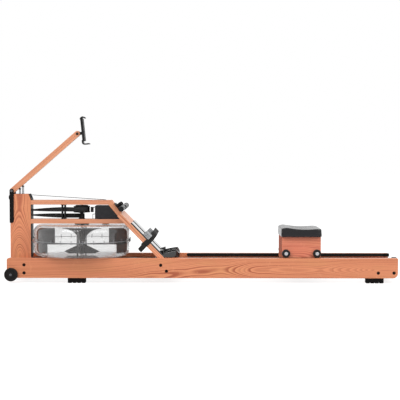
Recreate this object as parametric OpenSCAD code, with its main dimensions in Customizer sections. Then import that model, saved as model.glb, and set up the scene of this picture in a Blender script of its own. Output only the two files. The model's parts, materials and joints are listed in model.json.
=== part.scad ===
// Water rowing machine: a wooden rail frame with a clear water tank, a paddle rotor driven by a flat
// belt, a rolling seat, adjustable foot rests and a folding arm that holds a tablet.
// Millimetres. +X points to the rear, where the seat rolls, +Y to the rower's right, +Z up.
// The origin is on the floor, midway along the machine and midway between the rails.

/* [Rails] */
// Length of each rail
rail_len = 2085; // [1950:5:2200]
// Height of each rail
rail_h = 106; // [98:1:116]
// Thickness of each rail
rail_t = 28; // [22:1:36]
// Clear width between the rails
rail_gap = 294; // [286:1:306]
// Radius of the front top corner of a rail
rail_front_r = 11; // [4:1:30]
// Radius of the rear bottom corner of a rail
rail_rear_r = 27; // [4:1:40]
// Height of the rubber feet
foot_h = 27; // [22:1:36]
// Length of a rubber foot along the rail
foot_len = 96; // [60:1:140]
// Distance from the front end of the rails to the middle of the front feet
front_foot_at = 373; // [300:1:480]
// Distance from the rear end of the rails to the middle of the rear feet
rear_foot_at = 124; // [80:1:220]

/* [Seat tracks] */
// Width of a seat track
track_w = 20; // [18:1:26]
// Height of a seat track
track_h = 16; // [10:1:22]
// Gap between the heel cups and the front ends of the tracks
track_gap = 37; // [20:1:60]
// Length of the stop block at the rear end of a track
stop_len = 25; // [12:1:30]
// Width of the stop block, inwards from the track
stop_w = 16; // [8:1:18]
// Height of the stop block above the track
stop_h = 2; // [1:0.5:3]

/* [Cross members] */
// Thickness of the front cross member along the machine
front_cross_t = 34; // [28:1:40]
// Height of the front cross member
front_cross_h = 75; // [66:1:84]
// Height of the front cross member above the underside of the rails
front_cross_z = 11; // [6:1:16]
// Width of the middle cross member up the slope of the foot plank
middle_cross_w = 65; // [60:1:76]
// Thickness of the middle cross member
middle_cross_t = 27; // [22:1:30]
// Length of the rear cross member along the rails
rear_cross_w = 112; // [100:1:130]
// Thickness of the rear cross member
rear_cross_t = 34; // [24:1:44]
// Spacing of the two bolts in each cross member
cross_bolt_gap = [43, 44, 84];

/* [Bolts and pins] */
// Radius of the frame bolts
bolt_r = 4; // [3:0.5:5]
// Radius of the frame bolt heads
bolt_head_r = 8.5; // [6:0.5:9]
// Depth of the counterbore that holds a bolt head
bolt_recess = 8; // [6:1:12]
// Length of a frame bolt inside a cross member
bolt_grip = 45; // [30:1:60]
// Radius of the pins that carry pulleys, the arm and the tablet holder
pin_r = 4; // [3:0.5:5]
// Radial clearance of a pin or shaft in its hole
pin_fit = 0.05; // [0.02:0.01:0.1]
// Wood left over the ends of the pulleys' pins
pin_cover = 6; // [3:0.5:8]
// Clearance between pieces that move past each other
gap = 0.3; // [0.2:0.05:0.5]

/* [Tower] */
// Length of the tower along the machine
tower_len = 111; // [104:1:124]
// Height of the tower above the rails
tower_rise = 336; // [336:1:360]
// How far the tower stands in front of the rails
tower_ahead = 2; // [0:1:10]
// Height of the tower foot above the underside of the rails
tower_foot_z = 13; // [8:1:20]
// Thickness of the tower boards, the bars and the diagonals
board_t = 22; // [18:1:26]
// Width of the slot between the left and right boards
board_gap = 29; // [28:0.5:34]
// Length of the slope at the top rear corner of the tower, along X and up
tower_slope = [12, 28];
// Thickness of the black plate on the rear of the tower
plate_t = 4; // [2:0.5:4]
// Height of each horizontal bar
bar_h = 24; // [20:1:28]
// Height of the upper bars above the rails
upper_bar_z = 279; // [277:1:284]
// Height of the lower bars above the rails
lower_bar_z = 176; // [176:1:180]
// Distance from the tank's axis to the upper end of the upper bars
bar_past_tank = 164.5; // [160:0.5:173]
// Angle of the diagonals above the horizontal
diagonal_angle = 50; // [49:0.5:54]
// Width of the face of a diagonal
diagonal_w = 28; // [24:1:32]

/* [Foot plank] */
// Angle of the foot plank above the horizontal
plank_angle = 45.8; // [44.5:0.1:47]
// Thickness of the foot plank
plank_t = 25; // [20:1:28]
// Distance from the tank's flange to where the plank's face crosses the top of the rails
plank_past_tank = 185.6; // [182:0.2:190]
// Length of the plank above the top of the rails, along its slope
plank_up = 333; // [328:1:336]
// Length of the plank below the top of the rails, along its slope
plank_down = 100; // [80:1:110]
// Length of a foot rest plate
rest_len = 260; // [220:1:262]
// Thickness of a foot rest plate
rest_t = 7; // [4:0.5:9]
// Gap between the two foot rest plates
rest_gap = 56; // [52:1:70]
// Radius of the round back of a heel cup
heel_r = 52; // [44:1:55]
// Wall of a heel cup
heel_wall = 5; // [3:0.5:6]
// Height of a heel cup at its highest
heel_h = 37; // [28:1:40]
// Length of a heel cup from the plank to its back
heel_len = 82; // [70:1:95]

/* [Straps] */
// Width of a foot strap
strap_w = 30; // [25:1:45]
// Thickness of a foot strap
strap_t = 2; // [1.5:0.1:3]
// Height of a strap's arch above the foot rest
strap_rise = 56; // [45:1:80]
// Distance of the straps up the plank from the top of the rails
strap_at = 122; // [110:1:170]
// Length of the loose strap end below the plank
strap_tail = 43; // [30:1:70]

/* [Tank] */
// Outer radius of the tank
tank_r = 261.5; // [256:0.5:261.5]
// How far the tank's flanges stand out
flange_out = 7.5; // [6.5:0.5:9]
// Gap between the tower's rear plate and the tank's flanges
tank_gap = 1; // [0.5:0.5:4]
// Height of the tank
tank_h = 171; // [168:1:171]
// Wall of the tank shells
tank_wall = 4; // [3:0.5:6]
// Radius of the tank's outer corners
tank_corner = 36; // [24:1:50]
// Height of the flange joint above the bottom of the tank
seam_z = 85.5; // [80:0.5:92]
// Thickness of each flange
flange_t = 7.5; // [5:0.5:10]
// Thickness of the gasket between the flanges
gasket_t = 2; // [1:0.5:3]
// Number of flange screws
flange_screws = 28; // [20:1:36]
// Radius of the filling hole in the top of the tank
fill_r = 22; // [18:1:28]

/* [Rotor] */
// Radius of the rotor shaft
shaft_r = 6; // [5:0.5:8]
// Gap between the tips of the rotor blades and the tank's wall
blade_gap = 9.5; // [7:0.5:20]
// Thickness of the rotor blades
blade_t = 3; // [2:0.5:5]
// Radius of the rotor hub
hub_r = 13; // [11:0.5:16]
// Number of rotor blades
blades = 4; // [3:1:6]
// Inner radius of the upper paddle faces
upper_paddle_r = 148; // [130:1:170]
// Inner radius of the lower paddle faces
lower_paddle_r = 189; // [170:1:205]
// Half width of the upper web at its top
upper_web_r = 108; // [70:1:125]
// Half width of the lower web at its widest
lower_web_r = 97; // [70:1:115]

/* [Belts and drums] */
// Width of the belts
belt_w = 24; // [20:1:25]
// Thickness of the belts
belt_t = 2.5; // [1.5:0.5:3]
// Radius of the drive drum's flanges
drum_r = 45; // [44:0.5:47]
// Radius of the wound drive belt
drive_roll_r = 43.5; // [40:0.5:43.5]
// Radius of the recoil drum's flanges
recoil_drum_r = 17.5; // [17:0.5:22]
// Radius of the wound recoil belt
recoil_roll_r = 13.5; // [12:0.5:14]
// Height of the middle of the drive belt above the rails at the drum
drive_belt_z = 253; // [251:1:254]
// Height of the middle of the recoil belt above the rails at the drum
recoil_belt_z = 217; // [216:1:218]
// Radius of the pulley at the top of the tower
top_pulley_r = 22; // [19:0.5:23]
// Radius of the deflecting pulleys in the tower
small_pulley_r = 15; // [12:0.5:15]
// Height of a pulley's rims above its belt face
pulley_rim = 3; // [2:0.5:3.5]
// Height of the middle of the tower's top pulley above the rails
top_pulley_z = 309.5; // [307:0.5:310]
// Height of the drive belt above the rails where it leaves the tower
drive_exit_z = 247; // [244:1:249]
// Height of the recoil belt above the rails where it leaves the tower
recoil_exit_z = 222; // [218:1:224]
// Distance of the tower's top pulley behind the front of the rails
top_pulley_at = 78; // [74:1:80]
// Radius of the roller that leads the belt to the handle
lead_roller_r = 8; // [7:0.5:10]
// Distance of the lead roller before the upper end of the bars
lead_roller_back = 39.5; // [35:0.5:52]
// Radius of the shock cord
cord_r = 4; // [3:0.5:4.5]
// Radius of the shock cord's bend at the foot of the tower
cord_bend_r = 14; // [12:0.5:15]
// Height of the shock cord under the tank, below the top of the rails
cord_drop = 12; // [10:0.5:13]
// Distance from the belt guide to the tank's axis
guide_before_tank = 109; // [100:1:120]
// Length of the belt guide along the machine
guide_len = 22; // [18:1:30]

/* [Handle] */
// Length of the handle across the machine
handle_len = 430; // [380:1:470]
// Radius of the handle's tube
handle_tube_r = 10; // [8:0.5:12]
// Radius of the handle's grips
grip_r = 13; // [12:0.5:16]
// Radius of the flared end of a grip
grip_end_r = 15; // [13.5:0.5:20]
// Length of the bare stretch between the grips
grip_gap = 76; // [60:1:100]
// Radius of the pegs that the handle rests against
peg_r = 11; // [8:0.5:12]
// Height of the pegs above the diagonals
peg_h = 33.5; // [30:0.5:40]
// Distance of the pegs down the slope from the upper end of the diagonals
peg_at = 47; // [44:1:52]
// Height of the handle's middle above the diagonals
handle_rise = 25; // [22:0.5:30]

/* [Seat] */
// Length of the seat's side panels
seat_len = 209; // [190:1:230]
// Height of the seat's underside above the rails
seat_rise = 111; // [100:1:122]
// Thickness of the seat's side panels
seat_panel_t = 20; // [16:1:22]
// Thickness of the cross boards between the side panels
seat_cross_t = 14; // [10:1:15]
// Distance of the panels' lower edge below the top of the rails
seat_dip = 21; // [0:1:30]
// Side clearance between a panel and its track
seat_guide_gap = 2; // [1:0.5:4]
// Radius of the seat wheels
seat_wheel_r = 22; // [19:0.5:23]
// Width of the seat wheels
seat_wheel_w = 18; // [14:0.5:18]
// Distance between the front and rear seat wheels
seat_wheelbase = 166; // [150:1:168]
// Length of the cushion
cushion_len = 216; // [200:1:240]
// Width of the cushion
cushion_w = 300; // [280:1:320]
// Height of the cushion at the dip in its middle
cushion_h = 37; // [32:1:44]
// Height of the cushion's front swell above its dip
cushion_front = 12; // [6:1:16]
// Height of the cushion's rear swell above its dip
cushion_rear = 6; // [3:1:10]
// Distance from the rear end of the rails to the middle of the seat
seat_at = 511; // [400:0.5:700]

/* [Tablet arm] */
// Length of the arm between its pins
arm_len = 472; // [400:1:520]
// Height of the arm's section
arm_t = 30; // [24:1:34]
// Width of the arm
arm_w = 34; // [28:1:40]
// Angle of the arm above the horizontal
arm_angle = 41.2; // [39:0.2:45]
// Height of the arm's hinge above the tower
arm_pin_rise = 18; // [17:0.5:22]
// Width of the channel's side legs
channel_leg = 23; // [20:1:26]
// Thickness of the channel's front web
channel_web = 4; // [3:0.5:4]
// Thickness of the channel's side legs
channel_side = 3; // [2:0.5:4]
// Length of the channel below the top of the tower
channel_down = 156; // [120:1:180]
// Radius of the wire props under the arm
prop_r = 2; // [1.5:0.25:3]
// Radius of the rubber sleeve on a prop
prop_sleeve_r = 4; // [3.5:0.25:5]
// Radius of the lock knob
knob_r = 12; // [10:0.5:14]
// Length of the lock knob
knob_len = 9; // [8:0.5:12]

/* [Tablet holder] */
// Width of the holder across the machine
holder_w = 70; // [60:1:90]
// Lean of the holder's plate back from the vertical
holder_lean = 5.8; // [4:0.2:12]
// Distance of the plate in front of the tip pin
holder_out = 26; // [24:1:30]
// Thickness of the plate
holder_t = 13; // [10:0.5:14]
// Height of the plate above the tip pin
holder_up = 74; // [66:1:90]
// Depth of the plate below the tip pin
holder_down = 44; // [42:1:60]
// Reach of the lower hook beyond the plate
lower_hook = 22; // [16:1:36]
// Outer radius of the lower hook's bend
bend_r = 13; // [10:0.5:16]
// Outer radius of the upper jaw's hook
hook_r = 15.5; // [13:0.5:20]
// Thickness of the hooks
hook_t = 6.5; // [4:0.5:8]

/* [Transport wheels] */
// Radius of a transport wheel
wheel_r = 36; // [28:0.5:38]
// Width of a transport wheel
wheel_w = 20; // [16:1:26]
// Distance of the transport wheels behind the front of the rails
wheel_at = 24.5; // [22:0.5:36]
// Height of the transport wheels' middle above the underside of the rails
wheel_z = 19; // [17:0.5:26]
// Radius of a transport wheel's axle bolt
axle_r = 5; // [4:0.5:6]

/* [Hidden] */
$fn = 64;
trim = 1;
sides = [-1, 1];
wood = [0.84, 0.55, 0.41];
black = [0.15, 0.15, 0.16];
rubber = [0.2, 0.2, 0.21];
steel = [0.72, 0.73, 0.75];
clear = [0.82, 0.88, 0.9, 0.4];
paddle = [0.36, 0.38, 0.39];

// Rails and tracks
front_reach = tower_ahead + channel_web + knob_len;
rail_x1 = (rail_len + front_reach) / 2;
rail_x0 = rail_x1 - rail_len;
rail_z1 = foot_h + rail_h;
rail_y0 = rail_gap / 2;
rail_y1 = rail_y0 + rail_t;
front_foot_x = rail_x0 + front_foot_at;
rear_foot_x = rail_x1 - rear_foot_at;
foot_w = rail_t;
foot_groove = [6, 4];
track_y0 = rail_y0 - track_w;
stop_x0 = rail_x1 - stop_len;
stop_screw = [stop_x0 + stop_len / 2, rail_z1 - track_h / 2];

// Tank's axis, tower and deck
tower_x0 = rail_x0 - tower_ahead;
tower_x1 = tower_x0 + tower_len;
flange_r = tank_r + flange_out;
tank_x = tower_x1 + plate_t + tank_gap + flange_r;
tower_z1 = rail_z1 + tower_rise;
tower_z0 = foot_h + tower_foot_z;
board_y0 = board_gap / 2;
board_y1 = board_y0 + board_t;
front_cross_x0 = tower_x1 - front_cross_t;
front_cross_z0 = foot_h + front_cross_z;
front_cross_z1 = front_cross_z0 + front_cross_h;
upper_z0 = rail_z1 + upper_bar_z;
upper_z1 = upper_z0 + bar_h;
lower_z0 = rail_z1 + lower_bar_z;
lower_z1 = lower_z0 + bar_h;
diagonal_top = [tank_x + bar_past_tank, upper_z1];
diagonal_run = diagonal_w / sin(diagonal_angle);
slope_down = [cos(diagonal_angle), -sin(diagonal_angle)];
slope_out = [sin(diagonal_angle), cos(diagonal_angle)];
function outer_x(z) = diagonal_top.x + (diagonal_top.y - z) / tan(diagonal_angle);
function inner_x(z) = outer_x(z) - diagonal_run;

// Foot plank, measured along its slope from the top of the rails, and square to its face
plank_foot = [tank_x + flange_r + plank_past_tank, rail_z1];
plank_dir = [-cos(plank_angle), sin(plank_angle)];
plank_out = [sin(plank_angle), cos(plank_angle)];
function on_plank(s, h) = plank_foot + s * plank_dir + h * plank_out;
function plank_under_x(z) = on_plank(0, -plank_t).x - (z - on_plank(0, -plank_t).y) / tan(plank_angle);
plank_y = rail_y0 - gap;
rest_y0 = rest_gap / 2;
rest_y1 = plank_y - gap;
rest_lift = gap;
rest_s0 = -3;
middle_cross_s = -37;
middle_cross_h = -plank_t - middle_cross_t / 2;
middle_cross_mid = on_plank(middle_cross_s, middle_cross_h);
rear_cross_z = 28;
rear_cross_x = rail_x1 - 63;
heel_y = (rest_y0 + rest_y1) / 2;
heel_floor = 5;
heel_front_h = 24;
heel_back_h = 18;
heel_back_x = plank_foot.x + heel_len;
track_x0 = heel_back_x + track_gap;

// Straps, each a loop in a plane square to the plank
strap_y0 = 20;
strap_y1 = plank_y - gap + strap_t + 1;
strap_mid_y = (strap_y0 + strap_y1) / 2;
strap_half = (strap_y1 - strap_y0) / 2;
strap_top_h = rest_t + strap_rise;
strap_under_h = -plank_t - gap;
strap_leg_h = rest_t + 6;
strap_bow = 2.3;
strap_steps = 14;
strap_slot = [strap_w + 2, strap_t + 4];
tail_w = 27;
tail_lean = 3;
buckle = [34, 7, 27];
buckle_at = strap_at + 24;

// Frame bolts: one row of points in the XZ plane for each cross member
front_bolt_x = tower_x1 - front_cross_t / 2;
front_bolt_z = (front_cross_z0 + front_cross_z1) / 2;
rear_bolt_z = foot_h + rear_cross_z;
bolt_points = concat(
  [for (k = sides) [front_bolt_x, front_bolt_z + k * cross_bolt_gap[0] / 2]],
  [for (k = sides) middle_cross_mid + k * cross_bolt_gap[1] / 2 * plank_dir],
  [for (k = sides) [rear_cross_x + k * cross_bolt_gap[2] / 2, rear_bolt_z]]
);

// Tank and rotor
tank_z0 = rail_z1;
tank_z1 = tank_z0 + tank_h;
tank_seam = tank_z0 + seam_z;
flange_screw_circle = (tank_r + flange_r) / 2;
flange_screw_r = 1.6;
flange_head_r = 3;
flange_head_h = 2.5;
tank_hole_r = shaft_r + 1;
foot_bearing = [shaft_r + 6, 4];
fill_at = [120, 120];
bearing_block = [60, 5, 40];
bearing_top_h = 18;
shaft_z0 = tank_z0 + tank_wall + 3;
shaft_z1 = upper_z0 + bearing_top_h - 2;
blade_r = tank_r - tank_wall - blade_gap;
blade_clear = 18;
blade_z0 = tank_z0 + tank_wall + foot_bearing[1] + 2;
blade_z1 = tank_z1 - tank_wall - blade_clear;
arm_band = 6;
paddle_round = 26;
paddle_split_z = tank_z0 + 62.5;
web_steps = 12;

// Drums
drum_z0 = rail_z1 + drive_belt_z - belt_w / 2 - 1;
drum_z1 = drum_z0 + belt_w + 2;
drum_flange = [4, 9];
recoil_z0 = rail_z1 + recoil_belt_z - belt_w / 2 - 0.5;
recoil_z1 = drum_z0 - drum_flange[0];
recoil_flange = 3;
drum_core_r = 32;
recoil_core_r = 10;

// Sensor and the front of its module
module_x0 = tank_x + 75;
sensor = [15, 18, belt_w + 4];
wire_r = 1.5;

// Pulleys, each [x, z] of its pin
top_pulley = [rail_x0 + top_pulley_at, rail_z1 + top_pulley_z];
belt_line_x = top_pulley.x - top_pulley_r;
deflector = [
  belt_line_x + small_pulley_r,
  rail_z1 + drive_exit_z + small_pulley_r + gap + belt_t / 2
];
recoil_pulley = [top_pulley.x, rail_z1 + recoil_exit_z - small_pulley_r - gap - belt_t / 2];
cord_line_x = recoil_pulley.x - small_pulley_r - gap - belt_t / 2;
cord_z = rail_z1 - cord_drop;
cord_pulley = [cord_line_x + cord_bend_r, cord_z + cord_bend_r];
cord_pulley_rim = 3;
cord_top_z = recoil_pulley.y - 54;
lead_roller = [diagonal_top.x - lead_roller_back, upper_z1 - lead_roller_r + 1];
pulley_w = board_gap - 2 * gap;
pin_y1 = board_y1 - pin_cover;
ferrule = [8, 22];

// Twisted belt runs: where they leave the tower, pass the guide and meet the drums
exit_x = tower_x1 + plate_t + 1;
guide_x0 = tank_x - guide_before_tank;
guide_x1 = guide_x0 + guide_len;
guide_plate_t = 3.5;
guide_post_r = 3.5;
drive_guide_y = -17;
recoil_guide_y = 6;
twist_steps = 12;
drive_z = rail_z1 + drive_belt_z;
recoil_z = rail_z1 + recoil_belt_z;
belt_off = belt_t / 2 + 0.5;
function tangent(from, r, side) =
  let (away = from - [tank_x, 0])
  let (turn = atan2(away.y, away.x) + side * acos(r / norm(away)))
  [tank_x + r * cos(turn), r * sin(turn)];

// Handle
peg_foot = diagonal_top + peg_at * slope_down;
peg_y = board_y1 + 4;
peg_plate = [46, 4, 16];
handle_mid = diagonal_top + (peg_at + peg_r + gap + grip_r) * slope_down + handle_rise * slope_out;
yoke = [34, 28, 36];
lead_angle = 22;

// Seat
seat_x = rail_x1 - seat_at;
seat_z1 = rail_z1 + seat_rise;
seat_y1 = track_y0 - seat_guide_gap;
seat_y0 = seat_y1 - seat_panel_t;
seat_wheel_z = rail_z1 + seat_wheel_r + gap;
seat_wheel_y0 = track_y0 + 1;
seat_bolt = [10, 5];
cushion_segments = 64;

// Arm and holder
arm_pin = [tower_x0 + channel_leg / 2 - channel_web, tower_z1 + arm_pin_rise];
ear_r = channel_leg / 2;
arm_tip = arm_pin + arm_len * [cos(arm_angle), sin(arm_angle)];
prop_x = [tower_x0 + 47, tower_x0 + 64];
prop_y = arm_w / 2 + 5;
function prop_z(x) = arm_pin.y + (x - arm_pin.x) * tan(arm_angle)
  - (arm_t / 2 + prop_sleeve_r + gap) / cos(arm_angle);
knob_z = tower_z1 - 19;
stud_r = 3;
tongue_w = 14;
tongue_r = arm_t / 3;
pin_head = [pin_r + 3, 3];
jaw_tongue = [36, 6];
jaw_down = 40;

// Transport wheels
wheel_mid = [rail_x0 + wheel_at, foot_h + wheel_z];
wheel_y0 = rail_y1 + 2;

// Shared shapes

// Draws its children, which stand at the right, on the given side
module on_side(side) {
  if (side < 0)
    mirror([0, 1, 0]) children();
  else
    children();
}

// Draws its children at the right and mirrored at the left
module both_sides() {
  for (side = sides)
    on_side(side) children();
}

// Extrudes an outline in the XZ plane from y0 to y1
module across(y0, y1) {
  translate([0, y1, 0])
    rotate([90, 0, 0])
      linear_extrude(y1 - y0) children();
}

// A rod along Y
module y_rod(at, r, y0, y1) {
  translate([at.x, y0, at.y])
    rotate([-90, 0, 0])
      cylinder(r = r, h = y1 - y0);
}

// A turned piece on an axis along Y, from an outline in radius and distance along Y
module y_turned(at, y0) {
  translate([at.x, y0, at.y])
    rotate([-90, 0, 0])
      rotate_extrude($fn = 96) children();
}

// Takes the corner of a square outline to a radius; turn counts quarter turns from the bottom left
module corner_trim(p, r, turn) {
  translate(p)
    rotate(90 * turn)
      difference() {
        translate([-trim, -trim]) square(r + trim);
        translate([r, r]) circle(r);
      }
}

// A rectangle with its own radius at each corner, from the bottom left and round by the right
module round_rect(low, high, radii) {
  corners = [low, [high.x, low.y], high, [low.x, high.y]];
  difference() {
    translate(low) square(high - low);
    for (k = [0:3])
      if (radii[k] > 0)
        corner_trim(corners[k], radii[k], k);
  }
}

// A stretch of ring between two angles
module arc_band(mid, r0, r1, a0, a1) {
  spread = [for (k = [0:6]) a0 + (a1 - a0) * k / 6];
  translate(mid)
    intersection() {
      difference() {
        circle(r1);
        circle(r0);
      }
      polygon(concat([[0, 0]], [for (a = spread) 3 * r1 * [cos(a), sin(a)]]));
    }
}

// Rails, tracks and cross members

module bolt_bores() {
  for (p = bolt_points) {
    y_rod(p, bolt_r + pin_fit, rail_y0 - trim, rail_y1 + trim);
    y_rod(p, bolt_head_r + gap, rail_y1 - bolt_recess, rail_y1 + trim);
  }
}

module rail(side) {
  color(wood)
    on_side(side)
      difference() {
        across(rail_y0, rail_y1)
          round_rect(
            [rail_x0, foot_h],
            [rail_x1, rail_z1],
            [4, rail_rear_r, 4, rail_front_r]
          );
        bolt_bores();
        y_rod(wheel_mid, axle_r + pin_fit, rail_y0 - trim, rail_y1 + trim);
      }
}

module track(side) {
  color(black)
    on_side(side)
      difference() {
        across(track_y0, rail_y0)
          round_rect(
            [track_x0, rail_z1 - track_h],
            [rail_x1, rail_z1],
            [track_h / 3, 0, 0, track_h / 2]
          );
        y_rod(stop_screw, stud_r + pin_fit, track_y0 - trim, rail_y0 + trim);
      }
}

// Rubber blocks on the inner faces of the tracks, which the seat's panels meet
module track_stops() {
  y0 = track_y0 - stop_w;
  both_sides() {
    color(rubber)
      difference() {
        across(y0, track_y0)
          round_rect([stop_x0, rail_z1 - track_h], [rail_x1, rail_z1 + stop_h], [3, 3, 3, 3]);
        y_rod(stop_screw, stud_r, y0 - trim, track_y0 + trim);
      }
    color(steel) {
      y_rod(stop_screw, stud_r, y0, rail_y0 - 1);
      y_turned(stop_screw, y0 - 2)
        square([stud_r * 1.8, 2]);
    }
  }
}

// Blind bores for the frame bolts in the end grain of a cross member
module cross_bores(first) {
  both_sides()
    for (k = [first, first + 1])
      y_rod(bolt_points[k], bolt_r + pin_fit, rail_y0 - bolt_grip - 1, rail_y0 + trim);
}

module front_crossmember() {
  color(wood)
    difference() {
      across(-rail_y0, rail_y0)
        round_rect([front_cross_x0, front_cross_z0], [tower_x1, front_cross_z1], [3, 3, 0, 0]);
      cross_bores(0);
    }
}

module middle_crossmember() {
  mid = middle_cross_mid;
  color(wood)
    difference() {
      translate([mid.x, 0, mid.y])
        rotate([0, plank_angle, 0])
          translate([-middle_cross_w / 2, -rail_y0, -middle_cross_t / 2])
            cube([middle_cross_w, rail_gap, middle_cross_t]);
      cross_bores(2);
    }
}

module rear_crossmember() {
  low = [rear_cross_x - rear_cross_w / 2, rear_bolt_z - rear_cross_t / 2];
  color(wood)
    difference() {
      across(-rail_y0, rail_y0)
        round_rect(low, low + [rear_cross_w, rear_cross_t], [4, 4, 4, 4]);
      cross_bores(4);
    }
}

module frame_bolts() {
  color(black)
    both_sides()
      for (p = bolt_points)
        difference() {
          union() {
            y_rod(p, bolt_r, rail_y0 - bolt_grip, rail_y1 - 1);
            y_rod(p, bolt_head_r, rail_y1 - bolt_recess, rail_y1 - 1);
          }
          translate([p.x, rail_y1 - 4, p.y])
            rotate([-90, 0, 0])
              cylinder(r = bolt_r, h = 4, $fn = 6);
        }
}

module rubber_feet() {
  color(rubber)
    both_sides()
      for (x = [front_foot_x, rear_foot_x])
        translate([x, (rail_y0 + rail_y1) / 2, 0])
          difference() {
            across(-foot_w / 2, foot_w / 2)
              round_rect([-foot_len / 2, 0], [foot_len / 2, foot_h], [6, 6, 2, 2]);
            for (k = [-1, 0, 1])
              translate([k * foot_len / 4, 0, 0])
                cube([foot_groove[0], foot_w + 2 * trim, 2 * foot_groove[1]], center = true);
          }
}

// Tower

module tower_board(side) {
  color(wood)
    on_side(side)
      difference() {
        across(board_y0, board_y1)
          polygon([
            [tower_x0, tower_z0],
            [front_cross_x0, tower_z0],
            [front_cross_x0, front_cross_z1],
            [tower_x1, front_cross_z1],
            [tower_x1, tower_z1 - tower_slope.y],
            [tower_x1 - tower_slope.x, tower_z1],
            [tower_x0, tower_z1]
          ]);
        for (p = [top_pulley, deflector, recoil_pulley, cord_pulley])
          y_rod(p, pin_r + pin_fit, board_y0 - trim, pin_y1 + gap);
      }
}

// Black plate on the tower's rear edge, notched where the bars butt against the boards
module tower_rear_plate() {
  lean = plate_t * tan((90 - atan(tower_slope.y / tower_slope.x)) / 2);
  top_x = tower_x1 - tower_slope.x;
  turn = atan(tower_slope.y / tower_slope.x);
  color(black)
    difference() {
      across(-board_y1, board_y1)
        polygon([
          [tower_x1, cord_z + cord_r + 3],
          [tower_x1 + plate_t, cord_z + cord_r + 3],
          [tower_x1 + plate_t, tower_z1 - tower_slope.y + lean],
          [top_x + plate_t * sin(turn), tower_z1 + plate_t * cos(turn)],
          [top_x, tower_z1],
          [tower_x1, tower_z1 - tower_slope.y]
        ]);
      for (z = [lower_z0, upper_z0])
        both_sides()
          translate([tower_x1 - trim, board_y0, z])
            cube([plate_t + 2 * trim, board_t + trim, bar_h]);
      translate([tower_x1 - 20, -board_y0 + 1, tower_z1 - tower_slope.y + 5])
        cube([40, board_gap - 2, 60]);
      translate([tower_x1 - trim, -board_y0 + 1, rail_z1 + recoil_exit_z - 8])
        cube([plate_t + 2 * trim, board_gap - 2, drive_exit_z - recoil_exit_z + 16]);
    }
}

module arm_channel() {
  web_x0 = tower_x0 - channel_web;
  low_z = tower_z1 - channel_down;
  color(black)
    difference() {
      union() {
        across(-board_y1, board_y1)
          round_rect([web_x0, low_z], [tower_x0, tower_z1 - 1], [0, 0, 0, 0]);
        both_sides()
          across(board_y1, board_y1 + channel_side) {
            round_rect(
              [web_x0, low_z],
              [web_x0 + channel_leg, arm_pin.y],
              [2, channel_leg / 2, 0, 0]
            );
            translate(arm_pin) circle(ear_r);
          }
      }
      y_rod(arm_pin, pin_r + pin_fit, -board_y1 - channel_side - trim, board_y1 + channel_side + trim);
      translate([web_x0 - trim, 0, knob_z])
        rotate([0, 90, 0])
          cylinder(r = stud_r + pin_fit, h = channel_web + 2 * trim);
    }
}

// Two wire props on the tower: each has a leg on each board and a sleeved bar under the arm
module arm_props() {
  for (x = prop_x) {
    z = prop_z(x);
    color(steel)
      both_sides() {
        translate([x, prop_y, tower_z1])
          cylinder(r = prop_r, h = z - tower_z1);
        translate([x, prop_y, z])
          sphere(prop_r);
      }
    color(steel)
      y_rod([x, z], prop_r, -prop_y, prop_y);
    color(rubber)
      difference() {
        y_rod([x, z], prop_sleeve_r, -prop_y + prop_r + 1, prop_y - prop_r - 1);
        y_rod([x, z], prop_r, -prop_y, prop_y);
      }
  }
}

module upper_bars() {
  color(wood)
    both_sides()
      difference() {
        across(board_y0, board_y1)
          polygon([
            [tower_x1, upper_z0],
            [inner_x(upper_z0), upper_z0],
            diagonal_top,
            [tower_x1, upper_z1]
          ]);
        y_rod(lead_roller, pin_r + pin_fit, board_y0 - trim, pin_y1 + gap);
      }
}

module lower_bars() {
  color(wood)
    both_sides()
      across(board_y0, board_y1)
        polygon([
          [tower_x1, lower_z0],
          [plank_under_x(lower_z0), lower_z0],
          [plank_under_x(lower_z1), lower_z1],
          [tower_x1, lower_z1]
        ]);
}

// Diagonals, each cut out round the upper end of the foot plank
module diagonals() {
  color(wood)
    both_sides()
      difference() {
        across(board_y0, board_y1)
          polygon([
            diagonal_top,
            [inner_x(upper_z0), upper_z0],
            [inner_x(lower_z1), lower_z1],
            [plank_under_x(lower_z1), lower_z1],
            [outer_x(lower_z1), lower_z1]
          ]);
        plank_block(board_y0 - trim, board_y1 + trim, plank_up);
      }
}

// The plank's own block, from its lower end to the given distance up the slope
module plank_block(y0, y1, top) {
  across(y0, y1)
    polygon([
      on_plank(-plank_down, 0),
      on_plank(top, 0),
      on_plank(top, -plank_t),
      on_plank(-plank_down, -plank_t)
    ]);
}

// Moves a piece drawn in the plank's own frame: x up the slope, z square to its face
module plank_frame(s, h) {
  p = on_plank(s, h);
  translate([p.x, 0, p.y])
    rotate([0, plank_angle - 180, 0])
      mirror([0, 0, 1]) children();
}

module foot_plank() {
  color(wood)
    difference() {
      plank_block(-plank_y, plank_y, plank_up);
      both_sides()
        plank_frame(strap_at, -plank_t / 2)
          translate([0, strap_y0 + strap_t / 2, 0])
            cube([strap_slot[0], strap_slot[1], plank_t + 2 * trim], center = true);
    }
}

// A foot rest: a plate that lies on the plank and a heel cup at its lower end
module foot_rest(side) {
  h0 = rest_lift;
  cup_z = rail_z1 + gap;
  color(black)
    on_side(side) {
      difference() {
        union() {
          across(rest_y0, rest_y1)
            polygon([
              on_plank(rest_s0, h0),
              on_plank(rest_s0 + rest_len, h0),
              on_plank(rest_s0 + rest_len - 2, h0 + rest_t),
              on_plank(rest_s0, h0 + rest_t)
            ]);
          translate([0, 0, cup_z])
            linear_extrude(heel_h) heel_outline(heel_r);
        }
        translate([0, 0, cup_z + heel_floor])
          linear_extrude(heel_h) heel_outline(heel_r - heel_wall);
        heel_rim_cut(cup_z);
        across(0, rail_y0)
          polygon([
            on_plank(-plank_down, h0),
            on_plank(rest_len, h0),
            on_plank(rest_len, -plank_t),
            on_plank(-plank_down, -plank_t)
          ]);
      }
    }
}

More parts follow.
